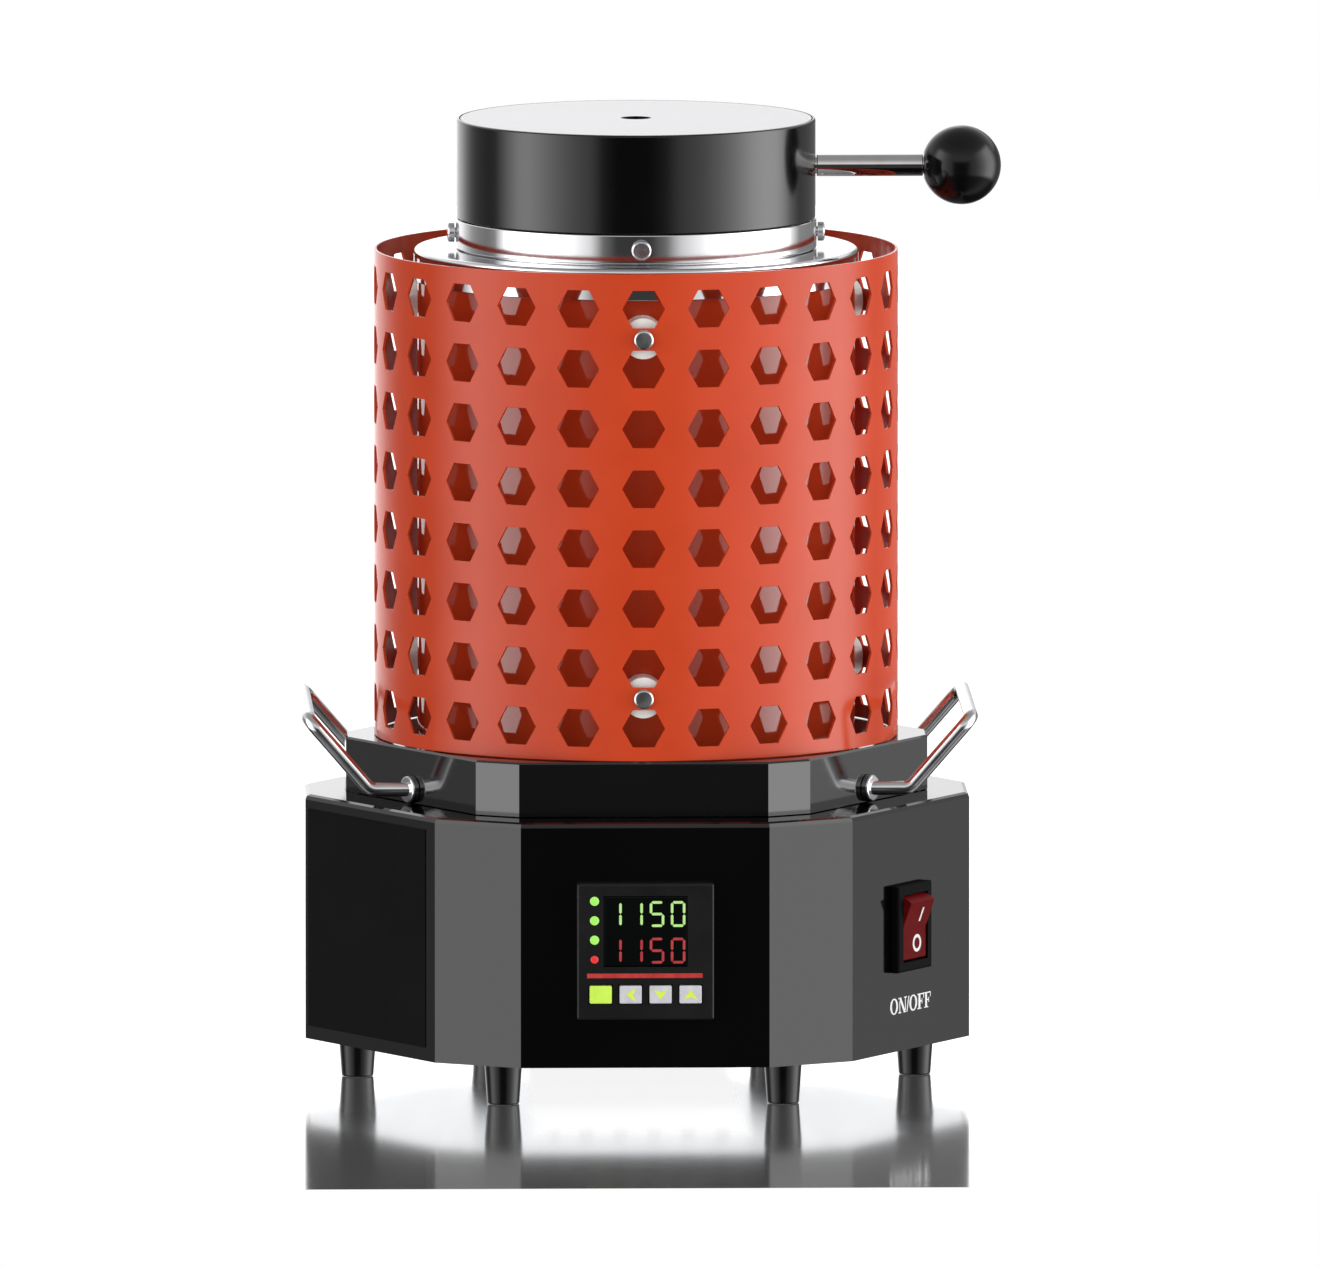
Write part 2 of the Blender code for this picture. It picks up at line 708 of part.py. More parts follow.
def make_housing(axis, face_places, black_paint):
    """Twelve-sided sheet housing, open below inside a floor flange, with its panel cut-outs."""
    outline = twelve_sided(HOUSING_LONG_APOTHEM, HOUSING_SHORT_APOTHEM)
    shape = prism(outline, HOUSING_BOTTOM, HOUSING_TOP)
    rounded_edges(shape, HOUSING_EDGE_RADIUS, lambda middle, edge: middle.z > HOUSING_TOP - GAP)
    housing = piece("lower_housing", shape, black_paint, axis, crease=FOLD_ANGLE)
    inside = twelve_sided(HOUSING_LONG_APOTHEM - SHEET, HOUSING_SHORT_APOTHEM - SHEET)
    cut(housing, "cut_housing_room", prism(inside, HOUSING_FLANGE_TOP, HOUSING_TOP - SHEET))
    cut(housing, "cut_housing_floor", prism(inside, HOUSING_BOTTOM - OVERRUN, HOUSING_FLANGE_BOTTOM))
    openings = [
        cylinder(HOUSING_FLOOR_OPENING_RADIUS, HOUSING_BOTTOM, HOUSING_FLANGE_TOP + OVERRUN, LARGE_SIDES),
        cylinder(
            HOUSING_TOP_OPENING_RADIUS, HOUSING_TOP - SHEET - OVERRUN, HOUSING_TOP + OVERRUN, LARGE_SIDES
        ),
    ]
    cut(housing, "cut_housing_openings", joined(openings))
    screw_holes = [
        holes_up(
            SHORT_FACES, FOOT_CIRCLE_RADIUS, SCREW_HOLE_RADIUS, HOUSING_BOTTOM, HOUSING_FLANGE_TOP + OVERRUN
        ),
        holes_up(
            SHORT_FACES,
            plinth_screw_circle(),
            SCREW_HOLE_RADIUS,
            HOUSING_TOP - SHEET - OVERRUN,
            HOUSING_TOP + OVERRUN,
        ),
    ]
    cut(housing, "cut_housing_screws", joined(screw_holes))
    front, switch, back = face_places
    through = SHEET + OVERRUN
    cut(housing, "cut_controller", face_block(CUTOUT_SIZE, CUTOUT_SIZE, -OVERRUN, through), front)
    case_width = SWITCH_WIDTH - 2 * SWITCH_CASE_INSET + 2 * GAP
    case_tall = SWITCH_TALL - 2 * SWITCH_CASE_INSET + 2 * GAP
    cut(housing, "cut_switch", face_block(case_width, case_tall, -OVERRUN, through), switch)
    inlet_width = INLET_CASE_WIDTH + 2 * GAP
    inlet_tall = INLET_CASE_TALL + 2 * GAP
    inlet_hole = face_block(inlet_width, inlet_tall, -OVERRUN, through)
    inlet_holes = [inlet_hole] + inlet_screw_holes(-OVERRUN, through)
    cut(housing, "cut_inlet", joined(inlet_holes), back)


def inlet_screw_holes(front, back):
    toward_back = Matrix.Rotation(-math.pi / 2, 4, "X")
    return [
        moved(
            cylinder(SCREW_HOLE_RADIUS, front, back, SCREW_SIDES),
            Matrix.Translation((side * INLET_SCREW_SPREAD, 0, 0)) @ toward_back,
        )
        for side in (-1, 1)
    ]


def plinth_screw_circle():
    """Distance from the axis to the plinth's screws, at the middle of its lugs."""
    return PLINTH_SHORT_APOTHEM - SHEET - PLINTH_LUG_DEPTH / 2


def make_bottom_plate(axis, steel):
    outline = twelve_sided(HOUSING_LONG_APOTHEM - SHEET - GAP, HOUSING_SHORT_APOTHEM - SHEET - GAP)
    plate = piece("bottom_plate", prism(outline, PLATE_BOTTOM, PLATE_TOP), steel, axis)
    low = PLATE_BOTTOM - OVERRUN
    high = PLATE_TOP + OVERRUN
    first = -VENT_PITCH * (VENT_COUNT - 1) / 2
    vents = [
        moved(
            block((-VENT_WIDTH / 2, -VENT_LENGTH / 2, low), (VENT_WIDTH / 2, VENT_LENGTH / 2, high)),
            Matrix.Translation((first + VENT_PITCH * index, 0, 0)),
        )
        for index in range(VENT_COUNT)
    ]
    cut(plate, "cut_vents", joined(vents))
    cut(plate, "cut_plate_screws", holes_up(SHORT_FACES, FOOT_CIRCLE_RADIUS, SCREW_HOLE_RADIUS, low, high))


def make_plinth(axis, black_paint):
    """Twelve-sided sheet plinth, open below, in one with six lugs and their screws to the housing."""
    outline = twelve_sided(PLINTH_LONG_APOTHEM, PLINTH_SHORT_APOTHEM)
    shape = prism(outline, PLINTH_BOTTOM, PLINTH_TOP)
    rounded_edges(shape, PLINTH_EDGE_RADIUS, lambda middle, edge: middle.z > PLINTH_TOP - GAP, 1)
    plinth = piece("upper_plinth", shape, black_paint, axis, crease=FOLD_ANGLE)
    inside = twelve_sided(PLINTH_LONG_APOTHEM - SHEET, PLINTH_SHORT_APOTHEM - SHEET)
    cut(plinth, "cut_plinth_room", prism(inside, PLINTH_BOTTOM - OVERRUN, PLINTH_CEILING))
    lug_outer = PLINTH_SHORT_APOTHEM - SHEET / 2
    lug_inner = PLINTH_SHORT_APOTHEM - SHEET - PLINTH_LUG_DEPTH
    lug_bottom = PLINTH_BOTTOM + GAP
    lug_top = lug_bottom + SHEET
    lugs = [
        moved(
            block(
                (-PLINTH_LUG_WIDTH / 2, -lug_outer, lug_bottom), (PLINTH_LUG_WIDTH / 2, -lug_inner, lug_top)
            ),
            turned_to(face),
        )
        for face in SHORT_FACES
    ]
    add(plinth, "plinth_lugs", joined(lugs))
    seat = HOUSING_TOP - SHEET - GAP
    screws = studs_down(SHORT_FACES, plinth_screw_circle(), seat, lug_top + SCREW_TAIL)
    add(plinth, "plinth_screws", screws)
    low = PLINTH_CEILING - OVERRUN
    high = PLINTH_TOP + OVERRUN
    holes = [
        cylinder(PLINTH_TOP_OPENING_RADIUS, low, high, LARGE_SIDES),
        holes_up(DRUM_SCREW_FACES, DRUM_SCREW_CIRCLE_RADIUS, SCREW_HOLE_RADIUS, low, high),
    ]
    cut(plinth, "cut_plinth_holes", joined(holes))
    stub_holes = [handle_hole(side, level) for side in (-1, 1) for level in (-1, 1)]
    cut(plinth, "cut_plinth_stubs", joined(stub_holes))


def studs_down(directions, radius, seat, top):
    """Screws round the axis whose heads hang below a seat and whose shanks rise to the top."""
    profile = [
        (0, seat - SCREW_HEAD_HEIGHT),
        (SCREW_HEAD_RADIUS, seat - SCREW_HEAD_HEIGHT),
        (SCREW_HEAD_RADIUS, seat),
        (SCREW_RADIUS, seat),
        (SCREW_RADIUS, top),
        (0, top),
    ]
    return joined([moved(turned(profile, SCREW_SIDES), upright(turn, radius, 0)) for turn in directions])


def handle_hole(side, level):
    """Cutter for a handle's rod where it enters the plinth: side is left or right, level front or back."""
    along_x = Matrix.Rotation(math.pi / 2, 4, "Y")
    shape = cylinder(HANDLE_ROD_RADIUS + GAP, HANDLE_INNER_END, HANDLE_STUB_END, HOLE_SIDES)
    moved(shape, Matrix.Translation((0, side * level * HANDLE_HALF_SPAN, HANDLE_STUB_Z)) @ along_x)
    return moved(shape, turned_to(FRONT if side > 0 else BACK))


def handle_disc(side, level, radius, inner, thickness):
    """A disc that lies along the plinth's face, centred on the handle's rod."""
    slant = math.radians(SWITCH_FACE)
    middle = inner + thickness / 2
    reach = (middle - HANDLE_HALF_SPAN * math.cos(slant)) / math.sin(slant)
    centre = Matrix.Translation((side * reach, level * HANDLE_HALF_SPAN, HANDLE_STUB_Z))
    facing = turned_to(side * (SWITCH_FACE if level < 0 else BACK - SWITCH_FACE))
    disc = cylinder(radius, -thickness / 2, thickness / 2, HOLE_SIDES)
    return moved(disc, centre @ facing @ Matrix.Rotation(math.pi / 2, 4, "X"))


def make_handles(axis, polished_steel):
    """A bent rod on each side, in one with a round flange and an inner nut at each end."""
    nut_inner = PLINTH_LONG_APOTHEM - SHEET - GAP - HANDLE_NUT_THICKNESS
    for name, side in (("handle_left", -1), ("handle_right", 1)):
        route = [
            (side * HANDLE_INNER_END, -HANDLE_HALF_SPAN, HANDLE_STUB_Z),
            (side * HANDLE_STUB_END, -HANDLE_HALF_SPAN, HANDLE_STUB_Z),
            (side * HANDLE_BAR_PLACE, -HANDLE_HALF_SPAN, HANDLE_BAR_Z),
            (side * HANDLE_BAR_PLACE, HANDLE_HALF_SPAN, HANDLE_BAR_Z),
            (side * HANDLE_STUB_END, HANDLE_HALF_SPAN, HANDLE_STUB_Z),
            (side * HANDLE_INNER_END, HANDLE_HALF_SPAN, HANDLE_STUB_Z),
        ]
        path = rounded_path(route, HANDLE_BEND_RADIUS, BEND_STEPS)
        handle = piece(name, rod_shape(path, HANDLE_ROD_RADIUS, 2), polished_steel, axis)
        discs = []
        for level in (-1, 1):
            outside = PLINTH_LONG_APOTHEM + GAP
            discs.append(handle_disc(side, level, HANDLE_FLANGE_RADIUS, outside, HANDLE_FLANGE_THICKNESS))
            discs.append(handle_disc(side, level, HANDLE_NUT_RADIUS, nut_inner, HANDLE_NUT_THICKNESS))
        add(handle, f"{name}_flanges", joined(discs))


def spacer_heights():
    """Midway between the hole rows that the spacers lie between."""
    first = SHELL_BOTTOM + SHELL_FIRST_ROW
    return [first + SHELL_ROW_PITCH * (index + 0.5) for index in SPACER_ROW_GAPS]


def make_drum(axis, orange_paint, polished_steel):
    """Painted drum with a floor, a flange pressed over its top and the collar round the flange's neck."""
    profile = [
        (0, DRUM_BOTTOM),
        (DRUM_RADIUS, DRUM_BOTTOM),
        (DRUM_RADIUS, DRUM_TOP),
        (DRUM_INSIDE_RADIUS, DRUM_TOP),
        (DRUM_INSIDE_RADIUS, DRUM_INSIDE_BOTTOM),
        (0, DRUM_INSIDE_BOTTOM),
    ]
    drum = piece("inner_drum", turned(profile, LARGE_SIDES), orange_paint, axis)
    seat = PLINTH_CEILING - GAP
    middle = DRUM_BOTTOM + DRUM_FLOOR / 2
    add(drum, "drum_screws", studs_down(DRUM_SCREW_FACES, DRUM_SCREW_CIRCLE_RADIUS, seat, middle))
    low = DRUM_BOTTOM - OVERRUN
    high = DRUM_INSIDE_BOTTOM + OVERRUN
    gland_hole = cylinder(GLAND_NECK_RADIUS + GAP, low, high, HOLE_SIDES)
    floor_holes = [moved(gland_hole, upright(FRONT, PROBE_PLACE_RADIUS, 0))]
    for x, y in lead_places():
        hole = cylinder(BUSHING_RADIUS + GAP, low, high, HOLE_SIDES)
        floor_holes.append(moved(hole, Matrix.Translation((x, y, 0))))
    cut(drum, "cut_drum_floor", joined(floor_holes))
    inner = DRUM_INSIDE_RADIUS - OVERRUN
    outer = DRUM_RADIUS + OVERRUN
    side_holes = holes_across(SPACER_DIRECTIONS, SCREW_HOLE_RADIUS, inner, outer, spacer_heights())
    cut(drum, "cut_drum_wall", side_holes)

    bead = FLANGE_BEAD_RADIUS
    corner = math.sqrt(0.5)
    profile = [
        (NECK_INSIDE_RADIUS, FLANGE_UNDERSIDE),
        (SKIRT_INSIDE_RADIUS, FLANGE_UNDERSIDE),
        (SKIRT_INSIDE_RADIUS, FLANGE_UNDERSIDE - FLANGE_SKIRT),
        (SKIRT_RADIUS, FLANGE_UNDERSIDE - FLANGE_SKIRT),
        (SKIRT_RADIUS, FLANGE_TOP - bead),
        (SKIRT_RADIUS - bead + bead * corner, FLANGE_TOP - bead + bead * corner),
        (SKIRT_RADIUS - bead, FLANGE_TOP),
        (NECK_RADIUS, FLANGE_TOP),
        (NECK_RADIUS, COLLAR_TOP - NECK_SHORTFALL),
        (NECK_INSIDE_RADIUS, COLLAR_TOP - NECK_SHORTFALL),
    ]
    flange = piece("drum_flange", turned(profile, LARGE_SIDES), polished_steel, axis)
    collar_shape = tube(COLLAR_RADIUS - COLLAR_WALL, COLLAR_RADIUS, COLLAR_BOTTOM, COLLAR_TOP, LARGE_SIDES)
    collar = piece("collar_ring", collar_shape, polished_steel, axis)
    bolt_z = (COLLAR_BOTTOM + COLLAR_TOP) / 2
    sides = (0, 90, 180, 270)
    inner = NECK_INSIDE_RADIUS - OVERRUN
    outer = COLLAR_RADIUS + OVERRUN
    cut(flange, "cut_neck", holes_across(sides, SCREW_HOLE_RADIUS, inner, outer, [bolt_z]))
    cut(collar, "cut_collar", holes_across(sides, SCREW_HOLE_RADIUS, inner, outer, [bolt_z]))
    seat = COLLAR_RADIUS + GAP
    for index, turn in enumerate(sides):
        shape = screw(seat - NECK_INSIDE_RADIUS)
        piece(f"collar_bolt_{index + 1}", shape, polished_steel, axis, outward(turn, seat, bolt_z))


def make_shell(axis, orange_paint, polished_steel):
    """Rolled sheet with columns and rows of six-sided holes, held off the drum by spacers and their bolts.

    Each hole has a corner to the left and right, and flats above and below. The web between the holes
    is made of four flat strips a hole, which follow the roll of the sheet.
    """
    half_corners = HOLE_ACROSS_CORNERS / 2
    half_flats = HOLE_ACROSS_FLATS / 2
    corner_angles = {"left": -half_corners, "inner_left": -half_corners / 2}
    corner_angles.update({"inner_right": half_corners / 2, "right": half_corners})
    pitch = math.tau / SHELL_COLUMNS
    shape = bmesh.new()

    def corner(column, name, height):
        angle = column * pitch + corner_angles[name] / SHELL_RADIUS
        return shape.verts.new(heading(math.degrees(angle)) * SHELL_RADIUS + Vector((0, 0, height)))

    columns = range(SHELL_COLUMNS)
    first = SHELL_BOTTOM + SHELL_FIRST_ROW
    rows = [first + SHELL_ROW_PITCH * row for row in range(SHELL_ROWS)]
    levels = [SHELL_BOTTOM]
    for row in rows:
        levels += [row - half_flats, row + half_flats]
    levels.append(SHELL_BOTTOM + SHELL_HEIGHT)
    ribs = {}
    for column in columns:
        for level, height in enumerate(levels):
            for name in ("inner_left", "inner_right"):
                ribs[column, level, name] = corner(column, name, height)
        for index, row in enumerate(rows):
            for name in ("left", "right"):
                ribs[column, index, name] = corner(column, name, row)
    for column in columns:
        following = (column + 1) % SHELL_COLUMNS
        for level in range(0, len(levels), 2):
            low_left = ribs[column, level, "inner_left"]
            low_right = ribs[column, level, "inner_right"]
            high_left = ribs[column, level + 1, "inner_left"]
            high_right = ribs[column, level + 1, "inner_right"]
            next_low = ribs[following, level, "inner_left"]
            next_high = ribs[following, level + 1, "inner_left"]
            shape.faces.new((low_left, low_right, high_right, high_left))
            shape.faces.new((low_right, next_low, next_high, high_right))
        for index in range(SHELL_ROWS):
            below = 2 * index + 1
            low = ribs[column, below, "inner_right"]
            high = ribs[column, below + 1, "inner_right"]
            next_low = ribs[following, below, "inner_left"]
            next_high = ribs[following, below + 1, "inner_left"]
            right = ribs[column, index, "right"]
            next_left = ribs[following, index, "left"]
            shape.faces.new((low, next_low, next_left, right))
            shape.faces.new((right, next_left, next_high, high))
    shell = piece("perforated_shell", shape, orange_paint, axis)
    wall = shell.modifiers.new("wall", "SOLIDIFY")
    wall.thickness = SHELL_SHEET
    wall.offset = -1
    heights = spacer_heights()
    inner = SHELL_RADIUS - SHELL_SHEET - OVERRUN
    outer = SHELL_RADIUS + OVERRUN
    holes = holes_across(SPACER_DIRECTIONS, SCREW_HOLE_RADIUS, inner, outer, heights)
    cut(shell, "cut_shell_bolts", holes)

    flat_of_shell = (SHELL_RADIUS - SHELL_SHEET) * math.cos(pitch / 2)
    spacer_outer = math.sqrt(flat_of_shell**2 - SPACER_RADIUS**2) - GAP
    seat = SHELL_RADIUS + GAP
    profile = [
        (0, DRUM_INSIDE_RADIUS),
        (SCREW_RADIUS, DRUM_INSIDE_RADIUS),
        (SCREW_RADIUS, DRUM_RADIUS + GAP),
        (SPACER_RADIUS, DRUM_RADIUS + GAP),
        (SPACER_RADIUS, spacer_outer),
        (SCREW_RADIUS, spacer_outer),
        (SCREW_RADIUS, seat),
        (SCREW_HEAD_RADIUS, seat),
        (SCREW_HEAD_RADIUS, seat + SCREW_HEAD_HEIGHT),
        (0, seat + SCREW_HEAD_HEIGHT),
    ]
    places = [(turn, height) for height in heights for turn in SPACER_DIRECTIONS]
    for index, (turn, height) in enumerate(places):
        shape = turned(profile, SPACER_SIDES)
        piece(f"shell_spacer_{index + 1}", shape, polished_steel, axis, outward(turn, 0, height))


def lead_angles():
    """Directions of the lower and the upper lead of the coil, either side of the back."""
    return (BACK - LEAD_OFFSET_ANGLE, BACK + LEAD_OFFSET_ANGLE)


def lead_places():
    """Where the two leads run down: the lower one inside the chamber, the upper one in the sleeve."""
    lower, upper = lead_angles()
    near = heading(lower) * COIL_RADIUS
    far = heading(upper) * LEAD_OUTER_RADIUS
    return ((near.x, near.y), (far.x, far.y))


def make_chamber(axis, fibre, ceramic):
    """Fibre insulation round a ceramic chamber tube, with channels for the coil's leads and the probe."""
    base_shape = cylinder(INSULATION_RADIUS, BASE_INSULATION_BOTTOM, BASE_INSULATION_TOP, LARGE_SIDES)
    base = piece("insulation_base", base_shape, fibre, axis)
    low = BASE_INSULATION_BOTTOM - OVERRUN
    high = BASE_INSULATION_TOP + OVERRUN
    probe_hole = cylinder(PROBE_RADIUS + GAP, low, high, HOLE_SIDES)
    holes = [moved(probe_hole, upright(FRONT, PROBE_PLACE_RADIUS, 0))]
    for x, y in lead_places():
        hole = cylinder(BUSHING_RADIUS + GAP, low, high, HOLE_SIDES)
        holes.append(moved(hole, Matrix.Translation((x, y, 0))))
    cut(base, "cut_base", joined(holes))

    step = CHAMBER_TOP
    sleeve_shape = turned(
        [
            (SLEEVE_INSIDE_RADIUS, CHAMBER_BOTTOM),
            (INSULATION_RADIUS, CHAMBER_BOTTOM),
            (INSULATION_RADIUS, DRUM_TOP),
            (MOUTH_RING_RADIUS + GAP, DRUM_TOP),
            (MOUTH_RING_RADIUS + GAP, step),
            (SLEEVE_INSIDE_RADIUS, step),
        ],
        LARGE_SIDES,
    )
    sleeve = piece("insulation_sleeve", sleeve_shape, fibre, axis)
    chamber_shape = tube(CHAMBER_RADIUS, CHAMBER_OUTER_RADIUS, CHAMBER_BOTTOM, CHAMBER_TOP, LARGE_SIDES)
    chamber = piece("chamber_tube", chamber_shape, ceramic, axis)
    upper = lead_angles()[1]
    half = LEAD_CHANNEL_WIDTH / 2
    channel = block(
        (-half, -LEAD_OUTER_RADIUS - half, CHAMBER_BOTTOM - OVERRUN),
        (half, -CHAMBER_OUTER_RADIUS, CHAMBER_TOP + OVERRUN),
    )
    cut(sleeve, "cut_lead_channel", moved(channel, turned_to(upper)))
    notch = block(
        (-half, -CHAMBER_OUTER_RADIUS - OVERRUN, COIL_TOP - half),
        (half, -CHAMBER_RADIUS + OVERRUN, CHAMBER_TOP + OVERRUN),
    )
    cut(chamber, "cut_lead_notch", moved(notch, turned_to(upper)))
    ring_shape = tube(MOUTH_RADIUS, MOUTH_RING_RADIUS, CHAMBER_TOP + GAP, COLLAR_TOP - GAP, LARGE_SIDES)
    piece("mouth_ring", ring_shape, ceramic, axis)
    floor_shape = cylinder(CHAMBER_FLOOR_RADIUS, CHAMBER_BOTTOM, CHAMBER_FLOOR_TOP, CRUCIBLE_SIDES)
    floor = piece("chamber_floor", floor_shape, ceramic, axis)
    probe_hole = cylinder(
        PROBE_RADIUS + GAP, CHAMBER_BOTTOM - OVERRUN, CHAMBER_FLOOR_TOP + OVERRUN, HOLE_SIDES
    )
    cut(floor, "cut_floor_probe", moved(probe_hole, upright(FRONT, PROBE_PLACE_RADIUS, 0)))
    pad = cylinder(PAD_RADIUS, PAD_BOTTOM, PAD_BOTTOM + PAD_HEIGHT, CRUCIBLE_SIDES)
    piece("crucible_pad", pad, ceramic, axis)


def make_coil(axis, resistance_wire, ceramic, steel):
    """Heating wire wound inside the chamber, whose ends drop through ceramic bushes to a terminal block."""
    lower, upper = lead_angles()
    terminals_y = HEATER_TERMINALS_REACH
    (near_x, near_y), (far_x, far_y) = lead_places()
    turn_total = COIL_TURNS + (upper - lower) / 360
    count = round(turn_total * COIL_POINTS_PER_TURN)
    winding = []
    for index in range(count + 1):
        share = index / count
        direction = lower + share * turn_total * 360
        height = COIL_BOTTOM + share * (COIL_TOP - COIL_BOTTOM)
        winding.append(heading(direction) * COIL_RADIUS + Vector((0, 0, height)))
    end = terminals_y + HEATER_TERMINALS_DEPTH / 2
    start_route = [
        (near_x, end, LEAD_RUN_Z),
        (near_x, near_y, LEAD_RUN_Z),
        tuple(winding[0]),
        tuple(winding[1]),
    ]
    end_route = [
        tuple(winding[-2]),
        tuple(winding[-1]),
        (far_x, far_y, COIL_TOP),
        (far_x, far_y, LEAD_RUN_Z),
        (far_x, end, LEAD_RUN_Z),
    ]
    path = rounded_path(start_route, LEAD_BEND_RADIUS, LEAD_BEND_STEPS)
    path += winding[2:-2]
    path += rounded_path(end_route, LEAD_BEND_RADIUS, LEAD_BEND_STEPS)
    rod("heating_coil", path, COIL_WIRE_RADIUS, 1, resistance_wire, axis)
    print(f"least gap of the heating coil to itself: {least_gap(path, COIL_WIRE_RADIUS) * 1000:.1f} mm")
    for name, (x, y) in zip(("lead_bushing_lower", "lead_bushing_upper"), lead_places()):
        low = DRUM_BOTTOM - BUSHING_DROP
        bush = tube(BUSHING_BORE_RADIUS, BUSHING_RADIUS, low, BASE_INSULATION_TOP, HOLE_SIDES)
        piece(name, bush, ceramic, axis, Matrix.Translation((x, y, 0)))
    half = HEATER_TERMINALS_WIDTH / 2
    terminal_top = PLINTH_CEILING - GAP
    shape = block(
        (-half, terminals_y, terminal_top - HEATER_TERMINALS_HEIGHT),
        (half, terminals_y + HEATER_TERMINALS_DEPTH, terminal_top),
    )
    terminals = piece("heater_terminals", shape, ceramic, axis)
    toward_back = Matrix.Rotation(-math.pi / 2, 4, "X")
    bores = [
        moved(
            cylinder(BUSHING_BORE_RADIUS, terminals_y - OVERRUN, end + OVERRUN, SCREW_SIDES),
            Matrix.Translation((x, 0, LEAD_RUN_Z)) @ toward_back,
        )
        for x in (near_x, far_x)
    ]
    cut(terminals, "cut_terminal_bores", joined(bores))

    probe_bottom = DRUM_BOTTOM - PROBE_DROP
    probe_top = CHAMBER_BOTTOM + PROBE_RISE
    place = upright(FRONT, PROBE_PLACE_RADIUS, 0)
    piece("thermocouple", cylinder(PROBE_RADIUS, probe_bottom, probe_top, HOLE_SIDES), steel, axis, place)
    gland_bore = PROBE_RADIUS + GAP
    gland_shape = turned(
        [
            (gland_bore, DRUM_BOTTOM - GAP - GLAND_HEIGHT),
            (GLAND_RADIUS, DRUM_BOTTOM - GAP - GLAND_HEIGHT),
            (GLAND_RADIUS, DRUM_BOTTOM - GAP),
            (GLAND_NECK_RADIUS, DRUM_BOTTOM - GAP),
            (GLAND_NECK_RADIUS, DRUM_INSIDE_BOTTOM),
            (gland_bore, DRUM_INSIDE_BOTTOM),
        ],
        HOLE_SIDES,
    )
    piece("thermocouple_gland", gland_shape, steel, axis, place)


def make_crucible(axis, graphite):
    """Tapered crucible that stands on its pad and lifts out with tongs."""
    top = CRUCIBLE_BOTTOM + CRUCIBLE_HEIGHT
    inside_foot = CRUCIBLE_FOOT_RADIUS - CRUCIBLE_WALL
    inside_top = CRUCIBLE_TOP_RADIUS - CRUCIBLE_WALL
    well = CRUCIBLE_BOTTOM + CRUCIBLE_FLOOR
    fillet = CRUCIBLE_WALL / 2
    profile = [
        (0, CRUCIBLE_BOTTOM),
        (CRUCIBLE_FOOT_RADIUS, CRUCIBLE_BOTTOM),
        (CRUCIBLE_TOP_RADIUS, top),
        (inside_top, top),
        (inside_foot, well + fillet),
        (inside_foot - fillet, well),
        (0, well),
    ]
    piece("crucible", turned(profile, CRUCIBLE_SIDES), graphite, axis)


